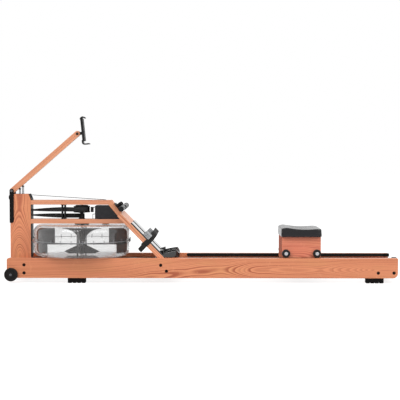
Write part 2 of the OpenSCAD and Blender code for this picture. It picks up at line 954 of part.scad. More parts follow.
// The outline of a heel cup from above: straight sides and a round back
module heel_outline(r) {
  cup_x = heel_back_x - heel_r;
  translate([cup_x, heel_y])
    circle(r);
  translate([plank_foot.x - 4, heel_y - r])
    square([cup_x - plank_foot.x + 4, 2 * r]);
}

// Slopes the rim of a heel cup up from the plank and down again at its back
module heel_rim_cut(cup_z) {
  across(0, rail_y1)
    polygon([
      [plank_foot.x, cup_z + heel_front_h],
      [heel_back_x - heel_len / 6, cup_z + heel_h],
      [heel_back_x + trim, cup_z + heel_back_h],
      [heel_back_x + trim, cup_z + heel_h + trim],
      [plank_foot.x, cup_z + heel_h + trim]
    ]);
}

// Half of the arch of a strap: points from the outer leg to the inner leg
function strap_arch(inset) = [
  for (k = [0:strap_steps])
    let (a = 180 * k / strap_steps)
    let (c = cos(a), s = sin(a))
    [
      strap_mid_y + (strap_half - inset) * sign(c) * pow(abs(c), 2 / strap_bow),
      strap_leg_h + (strap_top_h - inset - strap_leg_h) * pow(abs(s), 2 / strap_bow)
    ]
];

module foot_strap(side) {
  low = strap_under_h - strap_t;
  color(rubber)
    on_side(side)
      plank_frame(strap_at, 0) {
        translate([strap_w / 2, 0, 0])
          rotate([90, 0, -90])
            linear_extrude(strap_w)
              difference() {
                polygon(concat(
                  [[-strap_y1, low]],
                  [for (p = strap_arch(0)) [-p.x, p.y]],
                  [[-strap_y0, low]]
                ));
                polygon(concat(
                  [[-strap_y1 + strap_t, strap_under_h]],
                  [for (p = strap_arch(strap_t)) [-p.x, p.y]],
                  [[-strap_y0 - strap_t, strap_under_h]]
                ));
              }
        translate([0, strap_y1 - strap_t, 0])
          rotate([-90, 0, 0])
            linear_extrude(strap_t)
              polygon([
                [-tail_w / 2, -low - 1],
                [tail_w / 2, -low - 1],
                [tail_w / 2 - tail_lean, -low + strap_tail],
                [-tail_w / 2 - tail_lean, -low + strap_tail]
              ]);
      }
}

// Ladder buckles on the outer legs of the straps
module strap_buckles() {
  color("gray")
    both_sides()
      plank_frame(buckle_at, rest_t + 1)
        translate([0, strap_y1 + gap, 0])
          difference() {
            union() {
              translate([-buckle[0] / 2, 0, 0])
                cube(buckle);
              translate([-buckle[0] / 2, buckle[1] / 2, buckle[2] - 2])
                rotate([0, 90, 0])
                  cylinder(r = buckle[1] / 2 + 1, h = buckle[0]);
            }
            for (z = [4, 13])
              translate([-buckle[0] / 2 + 4, 2, z])
                cube([buckle[0] - 8, buckle[1], 5]);
            translate([-buckle[0], -buckle[1], -trim])
              cube([2 * buckle[0], buckle[1], buckle[2] + 20]);
          }
}

// Tank

// The outline of a shell half: a flat end with a round corner, up to height h
module shell_outline(r, corner, h) {
  square([r - corner, h]);
  translate([0, corner]) square([r, h - corner]);
  translate([r - corner, corner]) circle(corner, $fn = 96);
}

module shell_section(h) {
  difference() {
    union() {
      intersection() {
        shell_outline(tank_r, tank_corner, h);
        square([tank_r, h]);
      }
      translate([tank_r - tank_wall, h - flange_t])
        square([flange_r - tank_r + tank_wall, flange_t]);
    }
    intersection() {
      translate([0, tank_wall])
        shell_outline(tank_r - tank_wall, tank_corner - tank_wall, h);
      square([tank_r, h + trim]);
    }
  }
}

module flange_bores(z) {
  for (k = [0:flange_screws - 1])
    rotate(360 * (k + 0.5) / flange_screws)
      translate([flange_screw_circle, 0, z])
        cylinder(r = flange_screw_r + pin_fit, h = flange_t + 2 * trim, $fn = 16);
}

module tank_lower_shell() {
  h = seam_z - gasket_t / 2;
  color(clear)
    translate([tank_x, 0, tank_z0])
      difference() {
        union() {
          rotate_extrude($fn = 128) shell_section(h);
          cylinder(r = foot_bearing[0], h = tank_wall + foot_bearing[1]);
        }
        translate([0, 0, tank_wall + 2])
          cylinder(r = shaft_r + pin_fit, h = foot_bearing[1] + trim);
        flange_bores(h - flange_t - trim);
      }
}

module tank_upper_shell() {
  h = tank_h - seam_z - gasket_t / 2;
  color(clear)
    translate([tank_x, 0, tank_z1])
      mirror([0, 0, 1])
        difference() {
          rotate_extrude($fn = 128) shell_section(h);
          translate([0, 0, -trim])
            cylinder(r = tank_hole_r, h = tank_wall + 2 * trim);
          translate([fill_at.x, fill_at.y, -trim])
            cylinder(r = fill_r + gap, h = tank_wall + 2 * trim);
          flange_bores(h - flange_t - trim);
        }
}

module tank_gasket() {
  color(rubber)
    translate([tank_x, 0, tank_seam - gasket_t / 2])
      difference() {
        cylinder(r = flange_r, h = gasket_t, $fn = 128);
        translate([0, 0, -trim])
          cylinder(r = tank_r - tank_wall, h = gasket_t + 2 * trim, $fn = 128);
        for (k = [0:flange_screws - 1])
          rotate(360 * (k + 0.5) / flange_screws)
            translate([flange_screw_circle, 0, -trim])
              cylinder(r = flange_screw_r + pin_fit, h = gasket_t + 2 * trim, $fn = 16);
      }
}

module tank_screws() {
  reach = flange_t + gasket_t / 2;
  color(steel)
    translate([tank_x, 0, tank_seam])
      for (k = [0:flange_screws - 1])
        rotate(360 * (k + 0.5) / flange_screws)
          translate([flange_screw_circle, 0, 0]) {
            translate([0, 0, -reach - 1])
              cylinder(r = flange_screw_r, h = 2 * reach + 1, $fn = 16);
            translate([0, 0, reach])
              cylinder(r = flange_head_r, h = flange_head_h, $fn = 24);
          }
}

module tank_fill_plug() {
  color(black)
    translate([tank_x + fill_at.x, fill_at.y, tank_z1]) {
      translate([0, 0, -tank_wall - 4])
        cylinder(r = fill_r, h = tank_wall + 4);
      cylinder(r = fill_r + 5, h = 3);
      difference() {
        cylinder(r = fill_r - 4, h = 8);
        translate([0, 0, 4])
          difference() {
            cylinder(r = fill_r - 7, h = 6);
            translate([-fill_r, -2, -trim])
              cube([2 * fill_r, 4, 8]);
          }
      }
    }
}

// The two blocks that hold the shaft: one on the tank between the lower bars, one between the upper
module shaft_bearings() {
  half = board_y0;
  color(black)
    translate([tank_x, 0, 0]) {
      difference() {
        union() {
          translate([0, 0, tank_z1])
            cylinder(r = bearing_block[2], h = lower_z0 - tank_z1);
          translate([-bearing_block[0] / 2, -half, tank_z1])
            cube([bearing_block[0], 2 * half, lower_z1 - tank_z1]);
        }
        translate([0, 0, tank_z1 - trim])
          cylinder(r = shaft_r + pin_fit, h = lower_z1);
      }
      difference() {
        translate([-bearing_block[0] / 2, -half, upper_z0])
          cube([bearing_block[0], 2 * half, bearing_top_h]);
        translate([0, 0, upper_z0 - trim])
          cylinder(r = shaft_r + pin_fit, h = bearing_top_h - 1 + trim);
      }
    }
}

// Rotor

// The right half of a blade's outline, seen from the side, with its windows open
module blade_half() {
  split = paddle_split_z;
  rise = blade_z1 - split - 3;
  flare = upper_web_r - hub_r + 2;
  intersection() {
    union() {
      translate([0, split - arm_band / 2]) square([blade_r, arm_band]);
      translate([upper_paddle_r, split - arm_band / 2])
        square([blade_r - upper_paddle_r, blade_z1 - split + arm_band / 2]);
      translate([lower_paddle_r, blade_z0])
        square([blade_r - lower_paddle_r, split - blade_z0]);
      polygon(concat(
        [[0, split], [hub_r - 2, split]],
        [
          for (k = [1:web_steps])
            let (a = 90 * k / web_steps)
            [upper_web_r - flare * cos(a), split + rise * sin(a)]
        ],
        [[upper_web_r, blade_z1], [0, blade_z1]]
      ));
      polygon([
        [0, split],
        [hub_r - 2, split],
        [lower_web_r, blade_z0 + 12],
        [lower_web_r * 0.75, blade_z0],
        [0, blade_z0]
      ]);
    }
    round_rect([0, blade_z0], [blade_r, blade_z1], [0, paddle_round, paddle_round, 0]);
  }
}

module paddle_rotor() {
  color(paddle)
    translate([tank_x, 0, 0])
      difference() {
        union() {
          for (k = [0:blades - 1])
            rotate(360 * k / blades)
              across(-blade_t / 2, blade_t / 2) blade_half();
          translate([0, 0, blade_z0])
            cylinder(r = hub_r, h = blade_z1 - blade_z0);
        }
        translate([0, 0, blade_z0 - trim])
          cylinder(r = shaft_r, h = tank_h);
      }
}

module rotor_shaft() {
  color(steel)
    translate([tank_x, 0, shaft_z0])
      cylinder(r = shaft_r, h = shaft_z1 - shaft_z0);
}

// The drive drum with the belt wound on it and the clutch housing on its top
module drive_drum() {
  color(black)
    translate([tank_x, 0, 0])
      difference() {
        union() {
          translate([0, 0, drum_z0 - drum_flange[0]])
            cylinder(r = drum_r, h = drum_flange[0]);
          translate([0, 0, drum_z0])
            cylinder(r = drum_core_r, h = drum_z1 - drum_z0);
          translate([0, 0, drum_z1])
            cylinder(r = drum_r, h = drum_flange[0]);
          translate([0, 0, drum_z1 + drum_flange[0]])
            cylinder(r1 = drum_r - 8, r2 = drum_r - 12, h = drum_flange[1] - drum_flange[0]);
        }
        translate([0, 0, drum_z0 - drum_flange[0] - trim])
          cylinder(r = shaft_r + pin_fit, h = 80);
      }
  color(rubber)
    translate([tank_x, 0, drum_z0 + 1])
      difference() {
        cylinder(r = drive_roll_r, h = belt_w);
        translate([0, 0, -trim])
          cylinder(r = drum_core_r, h = belt_w + 2 * trim);
      }
}

module recoil_drum() {
  color(black)
    translate([tank_x, 0, 0])
      difference() {
        union() {
          translate([0, 0, recoil_z0 - recoil_flange])
            cylinder(r = recoil_drum_r, h = recoil_flange);
          translate([0, 0, recoil_z0])
            cylinder(r = recoil_core_r, h = recoil_z1 - recoil_z0);
          translate([0, 0, recoil_z1 - recoil_flange])
            cylinder(r = recoil_drum_r, h = recoil_flange);
        }
        translate([0, 0, recoil_z0 - recoil_flange - trim])
          cylinder(r = shaft_r + pin_fit, h = 60);
      }
  color(rubber)
    translate([tank_x, 0, recoil_z - belt_w / 2])
      difference() {
        cylinder(r = recoil_roll_r, h = belt_w);
        translate([0, 0, -trim])
          cylinder(r = recoil_core_r, h = belt_w + 2 * trim);
      }
}

// Belt guide between the bars: two plates and upright posts that keep each belt in line
module belt_guide() {
  color(black) {
    for (z = [lower_z1, upper_z0 - guide_plate_t])
      translate([guide_x0, -board_y1, z])
        cube([guide_len, 2 * board_y1, guide_plate_t]);
    for (x = [guide_x0 + guide_post_r, guide_x1 - guide_post_r])
      for (y = [drive_guide_y, recoil_guide_y])
        for (k = sides)
          translate([x, y + k * (belt_t / 2 + guide_post_r + 1.2), lower_z1])
            cylinder(r = guide_post_r, h = upper_z0 - lower_z1);
  }
}

// Speed sensor beside the drive drum on an arm from the sensor module, and the clip of its wire
module speed_sensor() {
  x0 = tank_x + drum_r + 4;
  half = sensor[1] / 2;
  wire = [module_x0 - 15, lower_z1 + 26];
  color(black) {
    translate([x0, -half, drum_z0 - 3])
      cube(sensor);
    translate([x0, -half, drum_z0 - 3 + sensor[2] - 3])
      cube([module_x0 - x0, sensor[1], 3]);
  }
  color(black) {
    translate([wire.x, 0, lower_z1])
      cylinder(r = wire_r, h = wire.y - lower_z1);
    translate([wire.x, 0, wire.y])
      sphere(wire_r);
    translate([wire.x, 0, wire.y])
      rotate([0, 90, 0])
        cylinder(r = wire_r, h = module_x0 - wire.x);
    translate([wire.x - 5, -board_y0, lower_z1 - 4])
      cube([10, board_gap, 4]);
  }
}

// Closed box of the electronics, which stands on the lower bars behind the diagonals
module sensor_module() {
  inset = 1.5;
  top_z = upper_z0 - 5;
  seam_d = 1;
  color(black)
    difference() {
      across(-board_y1 + 1, board_y1 - 1)
        difference() {
          polygon([
            [module_x0, lower_z1],
            [inner_x(lower_z1) - inset, lower_z1],
            [inner_x(top_z) - inset, top_z],
            [module_x0, top_z]
          ]);
          corner_trim([module_x0, top_z], 6, 3);
        }
      both_sides()
        translate([module_x0 + 20, board_y1 - 1 - seam_d, lower_z1 - trim])
          cube([1.5, 2 * seam_d, upper_z0]);
      translate([module_x0 - trim, -0.6, lower_z1 - trim])
        cube([200, 1.2, seam_d + trim]);
    }
}

// Belts and cord

// A twisting belt run from flat at the tower to upright at the guide, then straight to its drum
module twisted_run(from_z, guide_y, to_z, r, side) {
  mid_x = guide_x1 - guide_post_r;
  meet = tangent([mid_x, guide_y], r, side);
  turns = [for (k = [0:twist_steps]) k / twist_steps];
  path = concat(
    [for (u = turns) [exit_x + u * (mid_x - exit_x), u * u * (3 - 2 * u) * guide_y,
      from_z + u * (to_z - from_z), 90 * u * u * (3 - 2 * u)]],
    [[meet.x, meet.y, to_z, 90]]
  );
  w = belt_w / 2;
  t = belt_t / 2;
  points = [
    for (p = path)
      for (q = [[-w, -t], [w, -t], [w, t], [-w, t]])
        [
          p[0],
          p[1] + q.x * cos(p[3]) - q.y * sin(p[3]),
          p[2] + q.x * sin(p[3]) + q.y * cos(p[3])
        ]
  ];
  last = 4 * (len(path) - 1);
  walls = [
    for (k = [0:len(path) - 2])
      for (j = [0:3])
        let (a = 4 * k + j, b = 4 * k + (j + 1) % 4)
        for (tri = [[a, a + 4, b], [b, a + 4, b + 4]])
          tri
  ];
  polyhedron(
    points = points,
    faces = concat([[0, 1, 2], [0, 2, 3]], walls, [[last, last + 2, last + 1], [last, last + 3, last + 2]])
  );
}

// Angle of the outward normal on the straight run from the top pulley to the lead roller
top_run = lead_roller - top_pulley;
top_run_normal = atan2(top_run.y, top_run.x) + acos((top_pulley_r - lead_roller_r) / norm(top_run));
function around(mid, r, a) = mid + r * [cos(a), sin(a)];

module drive_belt() {
  r = top_pulley_r + gap;
  rl = lead_roller_r + gap;
  rs = small_pulley_r + gap;
  a = top_run_normal;
  left_x = belt_line_x - gap;
  low_z = deflector.y - rs;
  color(rubber) {
    across(-belt_w / 2, belt_w / 2) {
      polygon([
        around(top_pulley, r, a),
        around(top_pulley, r + belt_t, a),
        around(lead_roller, rl + belt_t, a),
        around(lead_roller, rl, a)
      ]);
      arc_band(top_pulley, r, r + belt_t, a, 180);
      translate([left_x - belt_t, deflector.y])
        square([belt_t, top_pulley.y - deflector.y]);
      arc_band(deflector, rs, rs + belt_t, 180, 270);
      translate([deflector.x, low_z - belt_t])
        square([exit_x - deflector.x, belt_t]);
      arc_band(lead_roller, rl, rl + belt_t, 90 - lead_angle, a);
    }
    twisted_run(low_z - belt_t / 2, drive_guide_y, drive_z, drive_roll_r + belt_off, 1);
  }
}

module recoil_belt() {
  rs = small_pulley_r + gap;
  high_z = recoil_pulley.y + rs;
  color(rubber) {
    across(-belt_w / 2, belt_w / 2) {
      translate([recoil_pulley.x, high_z])
        square([exit_x - recoil_pulley.x, belt_t]);
      arc_band(recoil_pulley, rs, rs + belt_t, 90, 180);
      translate([recoil_pulley.x - rs - belt_t, cord_top_z])
        square([belt_t, recoil_pulley.y - cord_top_z]);
    }
    twisted_run(high_z + belt_t / 2, recoil_guide_y, recoil_z, recoil_roll_r + belt_off, -1);
  }
}

// Shock cord: down the tower from the recoil belt's clip, round the foot pulley and back to the plank
module shock_cord() {
  anchor_x = plank_under_x(cord_z);
  color(rubber)
    translate([cord_line_x, 0, cord_pulley.y])
      cylinder(r = cord_r, h = cord_top_z - cord_pulley.y - ferrule[1] + 4);
  color(rubber)
    translate([cord_pulley.x, 0, cord_pulley.y])
      rotate([90, 0, 0])
        rotate(180)
          rotate_extrude(angle = 90)
            translate([cord_bend_r, 0]) circle(cord_r);
  color(rubber)
    translate([cord_pulley.x, 0, cord_z])
      rotate([0, 90, 0])
        cylinder(r = cord_r, h = anchor_x - cord_pulley.x - ferrule[1]);
  color(steel)
    difference() {
      translate([anchor_x - ferrule[1] - ferrule[0], 0, cord_z])
        rotate([0, 90, 0])
          cylinder(r = ferrule[0], h = ferrule[1] + 2 * ferrule[0]);
      plank_block(-20, 20, plank_up);
      translate([anchor_x - 60, 0, cord_z])
        rotate([0, 90, 0])
          cylinder(r = cord_r, h = 60 - ferrule[1]);
    }
  color(steel)
    translate([cord_line_x - 6, -belt_w / 2, cord_top_z - ferrule[1] + 4])
      cube([12, belt_w, ferrule[1] - 4]);
}

// Pins of the pulleys, the lead roller and the arm, and the axle bolts of the transport wheels
module axle_pins() {
  ear_y = board_y1 + channel_side;
  color(steel) {
    y_rod(arm_pin, pin_r, -ear_y, ear_y);
    both_sides() {
      y_rod(arm_pin, pin_r + 3, ear_y, ear_y + 3);
      y_rod(arm_pin, pin_r + 4, arm_w / 2 + gap, board_y1);
    }
    for (p = [top_pulley, deflector, recoil_pulley, cord_pulley, lead_roller])
      y_rod(p, pin_r, -pin_y1, pin_y1);
    both_sides() {
      y_rod(wheel_mid, axle_r, rail_y0, wheel_y0 + wheel_w + 1);
      y_rod(wheel_mid, axle_r + 2, wheel_y0 + wheel_w + 1, wheel_y0 + wheel_w + 5);
      y_rod(wheel_mid, axle_r + 3, rail_y0 - 5, rail_y0);
    }
  }
}

// A belt pulley with two rims
module belt_pulley(mid, r, rim) {
  half = pulley_w / 2;
  face = belt_w / 2 + 0.8;
  color(black)
    y_turned(mid, -half)
      difference() {
        union() {
          translate([0, 0]) square([r, 2 * half]);
          translate([0, 0]) square([r + rim, half - face]);
          translate([0, half + face]) square([r + rim, half - face]);
        }
        translate([-trim, -trim]) square([pin_r + pin_fit + trim, 2 * half + 2 * trim]);
        translate([r * 0.42, -trim]) square([r * 0.36, 3]);
        translate([r * 0.42, 2 * half - 2]) square([r * 0.36, 3]);
      }
}

module cord_pulley_wheel() {
  half = pulley_w / 2;
  groove = cord_r + gap;
  color(black)
    y_turned(cord_pulley, -half)
      difference() {
        square([cord_bend_r + cord_pulley_rim, 2 * half]);
        translate([-trim, -trim]) square([pin_r + pin_fit + trim, 2 * half + 2 * trim]);
        translate([cord_bend_r, half]) circle(groove);
        translate([cord_bend_r, half - groove]) square([20, 2 * groove]);
      }
}

// Handle

// Two plates on the diagonals, each with a rubber peg that the handle rests against
module handle_rest() {
  turn = 90 - diagonal_angle;
  color(black)
    both_sides()
      translate([peg_foot.x, 0, peg_foot.y])
        rotate([0, 90 - turn, 0]) {
          translate([-peg_plate[0] / 2, board_y0, 0])
            cube([peg_plate[0], peg_y + peg_r + 3 - board_y0, peg_plate[1]]);
          translate([0, peg_y, peg_plate[1]])
            rotate_extrude()
              round_rect([0, 0], [peg_r, peg_h - peg_plate[1]], [0, 0, peg_r - 3, 0]);
        }
}

// The end of the lead belt on the handle's yoke, and where it leaves the roller
lead_from = around(lead_roller, lead_roller_r + gap + belt_t / 2, 90 - lead_angle);
lead_to = handle_mid + [-yoke[0] / 2 + 2, 6];

// The lead belt's outline from the side, with the given half thickness
module lead_outline(half) {
  along = (lead_to - lead_from) / norm(lead_to - lead_from);
  side = half * [-along.y, along.x];
  start = lead_from + gap * along;
  end = lead_to + (half - belt_t / 2) * along;
  polygon([start - side, end - side, end + side, start + side]);
}

module belt_lead() {
  color(rubber)
    across(-belt_w / 2, belt_w / 2)
      lead_outline(belt_t / 2);
}

// The handle's tube with the yoke that clamps the belt
module handle_bar() {
  color(black)
    y_rod(handle_mid, handle_tube_r, -handle_len / 2 + 6, handle_len / 2 - 6);
  color(black)
    difference() {
      across(-yoke[2] / 2, yoke[2] / 2)
        difference() {
          translate(handle_mid)
            round_rect(
              [-yoke[0] / 2, -yoke[1] / 2],
              [yoke[0] / 2, yoke[1] / 2],
              [8, yoke[1] / 2, yoke[1] / 2, 8]
            );
          lead_outline(belt_t / 2 + gap);
        }
      y_rod(handle_mid, handle_tube_r, -yoke[2], yoke[2]);
    }
}

module handle_grips() {
  long = (handle_len - grip_gap) / 2;
  color(rubber)
    both_sides()
      y_turned(handle_mid, grip_gap / 2)
        difference() {
          union() {
            round_rect([0, 0], [grip_r, long - 8], [0, 3, 0, 0]);
            round_rect([0, long - 14], [grip_end_r, long], [0, 5, 5, 0]);
            translate([0, long * 0.42]) square([grip_r + 0.8, long * 0.2]);
          }
          translate([-trim, -trim])
            square([handle_tube_r + trim, long - 6 + trim]);
        }
}

// Seat

module seat_panels() {
  x0 = seat_x - seat_len / 2;
  x1 = seat_x + seat_len / 2;
  color(wood)
    difference() {
      union() {
        both_sides()
          across(seat_y0, seat_y1)
            round_rect([x0, rail_z1 - seat_dip], [x1, seat_z1], [10, 10, 0, 0]);
        for (x = [x0, x1 - seat_cross_t])
          translate([x, -seat_y0, rail_z1 + 12])
            cube([seat_cross_t, 2 * seat_y0, seat_rise - 12]);
      }
      for (k = sides)
        y_rod([seat_x + k * seat_wheelbase / 2, seat_wheel_z], pin_r + pin_fit, -rail_y0, rail_y0);
    }
}

// A pair of seat wheels on one axle that turns in the side panels
module seat_wheels(x) {
  mid = [x, seat_wheel_z];
  y0 = seat_wheel_y0;
  y1 = y0 + seat_wheel_w;
  color(steel) {
    y_rod(mid, pin_r, -y1, y1);
    both_sides()
      y_turned(mid, y1)
        round_rect([0, 0], [seat_bolt[0], seat_bolt[1]], [0, 0, 2, 0]);
  }
  color(black)
    both_sides()
      y_turned(mid, y0)
        difference() {
          round_rect([0, 0], [seat_wheel_r, seat_wheel_w], [0, 2.5, 2.5, 0]);
          translate([-trim, -trim]) square([pin_r + trim, seat_wheel_w + 2 * trim]);
          translate([seat_wheel_r * 0.52, seat_wheel_w - 3]) square([seat_wheel_r * 0.26, 4]);
          translate([pin_r + 4, -trim]) square([seat_wheel_r * 0.55, 3]);
        }
}

// Height of the cushion's top: a dip for the rower, a swell at the front and a lower one at the rear
function cushion_top(x, y) = cushion_h
  + cushion_front * exp(-pow((x + cushion_len * 0.36) / (cushion_len * 0.17), 2))
  + cushion_rear * exp(-pow((x - cushion_len * 0.37) / (cushion_len * 0.17), 2))
  - 4 * exp(-pow((abs(y) - cushion_w * 0.2) / (cushion_w * 0.13), 2) - pow(x / (cushion_len * 0.28), 2));

// The cushion's outline as a superellipse, drawn in a little at the middle of each side
function cushion_ring(a, shrink) =
  let (c = cos(a), s = sin(a), n = 2 / 8)
  shrink * [
    cushion_len / 2 * sign(c) * pow(abs(c), n),
    cushion_w / 2 * sign(s) * pow(abs(s), n)
  ];

// Rings from the underside to the crown: size, share of the height below the crown, and drop
cushion_rings = [
  [0.965, 0, 0], [0.985, 0.12, 0], [1, 0.35, 0], [1, 0.7, 0],
  [0.997, 1, 6], [0.985, 1, 2.2], [0.96, 1, 0.5], [0.8, 1, 0], [0.5, 1, 0], [0.2, 1, 0]
];

module seat_cushion() {
  rings = len(cushion_rings);
  points = concat(
    [
      for (ring = cushion_rings)
        for (k = [0:cushion_segments - 1])
          let (p = cushion_ring(360 * k / cushion_segments, ring[0]))
          [p.x, p.y, ring[1] < 1 ? ring[1] * (cushion_h - 9) : cushion_top(p.x, p.y) - ring[2]]
    ],
    [[0, 0, cushion_top(0, 0)]]
  );
  crown = rings * cushion_segments;
  walls = [
    for (k = [0:rings - 2])
      for (j = [0:cushion_segments - 1])
        let (a = k * cushion_segments + j, b = k * cushion_segments + (j + 1) % cushion_segments)
        for (tri = [[a, a + cushion_segments, b], [b, a + cushion_segments, b + cushion_segments]])
          tri
  ];
  last = (rings - 1) * cushion_segments;
  cap = [for (j = [0:cushion_segments - 1]) [last + j, crown, last + (j + 1) % cushion_segments]];
  color(rubber)
    translate([seat_x, 0, seat_z1])
      polyhedron(
        points = points,
        faces = concat([[for (j = [0:cushion_segments - 1]) j]], walls, cap)
      );
}

// Tablet arm and holder

module tablet_arm() {
  color(wood)
    translate([arm_pin.x, 0, arm_pin.y])
      rotate([0, -arm_angle, 0])
        difference() {
          across(-arm_w / 2, arm_w / 2)
            union() {
              circle(arm_t / 2);
              translate([0, -arm_t / 2]) square([arm_len, arm_t]);
              translate([arm_len, 0]) circle(arm_t / 2);
            }
          for (x = [0, arm_len])
            y_rod([x, 0], pin_r + pin_fit, -arm_w, arm_w);
          translate([arm_len - tongue_r - 2, -tongue_w / 2 - gap, -arm_t])
            cube([2 * arm_t, tongue_w + 2 * gap, 2 * arm_t]);
        }
}

// Draws its children in the holder's own frame, from the tip pin, leaning back with the plate
module holder_frame() {
  translate([arm_tip.x, 0, arm_tip.y])
    rotate([0, -holder_lean, 0]) children();
}

// The plate and its lower hook, with a tongue in the slot of the arm's end and the pin through it
module holder_back() {
  x0 = holder_out;
  x1 = holder_out + holder_t;
  bend = [x0 - 4 + bend_r, -holder_down - 7];
  head_y = arm_w / 2 + gap;
  color(black)
    holder_frame() {
      difference() {
        union() {
          across(-holder_w / 2, holder_w / 2) {
            round_rect([x0, -holder_down], [x1, holder_up], [0, 3, 0, 3]);
            translate([bend.x - bend_r, bend.y])
              square([hook_t, -holder_down - bend.y + 6]);
            arc_band(bend, bend_r - hook_t, bend_r, 180, 270);
            round_rect(
              [bend.x, bend.y - bend_r],
              [x1 + lower_hook, bend.y - bend_r + hook_t],
              [0, 3, 3, 0]
            );
          }
          across(-tongue_w / 2, tongue_w / 2)
            union() {
              circle(tongue_r);
              translate([0, -tongue_r + 2]) square([x0 + 1, 2 * tongue_r - 4]);
            }
        }
        translate([x1 - jaw_tongue[1], -jaw_tongue[0] / 2, -jaw_down])
          cube([jaw_tongue[1] + trim, jaw_tongue[0], holder_up + jaw_down + trim]);
      }
      y_rod([0, 0], pin_r, -head_y - pin_head[1], head_y + pin_head[1]);
      both_sides()
        y_rod([0, 0], pin_head[0], head_y, head_y + pin_head[1]);
    }
}

// The upper jaw: a tongue that slides in the plate's groove and a curled hook over the tablet
module holder_jaw() {
  x1 = holder_out + holder_t;
  top = holder_up + gap;
  color(black)
    holder_frame() {
      translate([x1 - jaw_tongue[1] + gap, -jaw_tongue[0] / 2 + gap, -jaw_down + 1])
        cube([jaw_tongue[1] - gap - 0.5, jaw_tongue[0] - 2 * gap, top + jaw_down]);
      across(-holder_w / 2, holder_w / 2) {
        arc_band([x1, top], hook_r - hook_t, hook_r, 25, 180);
        translate([x1 - hook_r, top]) square([hook_r, 4]);
      }
    }
}

module lock_knob() {
  x1 = tower_x0 - channel_web;
  color(black)
    translate([x1 - gap, 0, knob_z])
      rotate([0, -90, 0])
        difference() {
          union() {
            cylinder(r = knob_r, h = knob_len - gap);
            translate([0, 0, -channel_web - 14])
              cylinder(r = stud_r, h = channel_web + 14);
          }
          for (k = [0:5])
            rotate(60 * k)
              translate([knob_r + 2, 0, 2])
                cylinder(r = 4, h = knob_len);
        }
}

module transport_wheel(side) {
  color(black)
    on_side(side)
      y_turned(wheel_mid, wheel_y0)
        difference() {
          round_rect([0, 0], [wheel_r, wheel_w], [0, 5, 5, 0]);
          translate([-trim, -trim]) square([axle_r + pin_fit + trim, wheel_w + 2 * trim]);
          translate([wheel_r * 0.4, wheel_w - 5]) square([wheel_r * 0.38, 6]);
          translate([wheel_r * 0.4, -trim]) square([wheel_r * 0.38, 5 + trim]);
        }
}

rail(-1);  // rail_left
rail(1);  // rail_right
track(-1);  // track_left
track(1);  // track_right
track_stops();
front_crossmember();
middle_crossmember();
rear_crossmember();
frame_bolts();
rubber_feet();
tower_board(-1);  // tower_board_left
tower_board(1);  // tower_board_right
tower_rear_plate();
arm_channel();
arm_props();
upper_bars();
lower_bars();
diagonals();
foot_plank();
foot_strap(-1);  // foot_strap_left
foot_strap(1);  // foot_strap_right
strap_buckles();
tank_lower_shell();
tank_upper_shell();
tank_gasket();
tank_screws();
tank_fill_plug();
shaft_bearings();
belt_guide();
speed_sensor();
sensor_module();
drive_belt();
recoil_belt();
shock_cord();
axle_pins();
handle_rest();
paddle_rotor();
rotor_shaft();
drive_drum();
recoil_drum();
belt_pulley(top_pulley, top_pulley_r, pulley_rim);  // top_pulley_wheel
belt_pulley(deflector, small_pulley_r, pulley_rim);  // deflector_pulley
belt_pulley(recoil_pulley, small_pulley_r, pulley_rim);  // recoil_pulley_wheel
cord_pulley_wheel();
belt_pulley(lead_roller, lead_roller_r, 0);  // lead_roller_wheel
belt_lead();
handle_bar();
handle_grips();
seat_panels();
seat_cushion();
seat_wheels(seat_x - seat_wheelbase / 2);  // seat_wheels_front
seat_wheels(seat_x + seat_wheelbase / 2);  // seat_wheels_rear
foot_rest(-1);  // foot_rest_left
foot_rest(1);  // foot_rest_right
tablet_arm();
holder_back();
holder_jaw();
lock_knob();
transport_wheel(-1);  // transport_wheel_left
transport_wheel(1);  // transport_wheel_right
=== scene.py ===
"""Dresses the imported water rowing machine: finishes, soft pieces, belts, floor, light and camera."""

from __future__ import annotations

import json
import logging
import math
from dataclasses import dataclass, field
from enum import Enum
from typing import Callable, Sequence

import bmesh
import bpy
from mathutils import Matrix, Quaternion, Vector


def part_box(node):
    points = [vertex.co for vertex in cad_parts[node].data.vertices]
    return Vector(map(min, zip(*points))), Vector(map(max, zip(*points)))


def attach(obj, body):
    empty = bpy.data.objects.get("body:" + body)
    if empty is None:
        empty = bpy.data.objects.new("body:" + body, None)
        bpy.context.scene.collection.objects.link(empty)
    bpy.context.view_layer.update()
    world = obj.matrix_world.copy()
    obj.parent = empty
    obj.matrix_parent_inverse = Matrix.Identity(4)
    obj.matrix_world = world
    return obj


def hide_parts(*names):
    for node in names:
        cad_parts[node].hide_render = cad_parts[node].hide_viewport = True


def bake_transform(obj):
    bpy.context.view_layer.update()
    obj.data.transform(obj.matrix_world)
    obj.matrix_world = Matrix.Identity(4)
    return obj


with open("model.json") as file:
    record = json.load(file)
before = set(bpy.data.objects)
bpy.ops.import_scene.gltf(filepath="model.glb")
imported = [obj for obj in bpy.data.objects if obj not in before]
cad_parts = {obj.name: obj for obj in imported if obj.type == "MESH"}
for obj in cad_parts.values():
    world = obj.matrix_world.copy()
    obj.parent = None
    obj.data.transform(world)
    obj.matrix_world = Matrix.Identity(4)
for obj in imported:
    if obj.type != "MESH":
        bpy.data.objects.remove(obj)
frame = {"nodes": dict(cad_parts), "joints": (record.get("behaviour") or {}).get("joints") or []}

log = logging.getLogger("rower")
logging.basicConfig(level=logging.INFO, format="%(name)s: %(message)s")

MM = 0.001
ALONG = Vector((1, 0, 0))
ACROSS = Vector((0, 1, 0))
UP = Vector((0, 0, 1))
LENGTH_MAP = "length"
EDGE_GAIN = 6.0
Colour = tuple[float, float, float]
Point = tuple[float, float, float]
Outline = list[tuple[float, float]]
BMesh = bmesh.types.BMesh
Material = bpy.types.Material
Object = bpy.types.Object


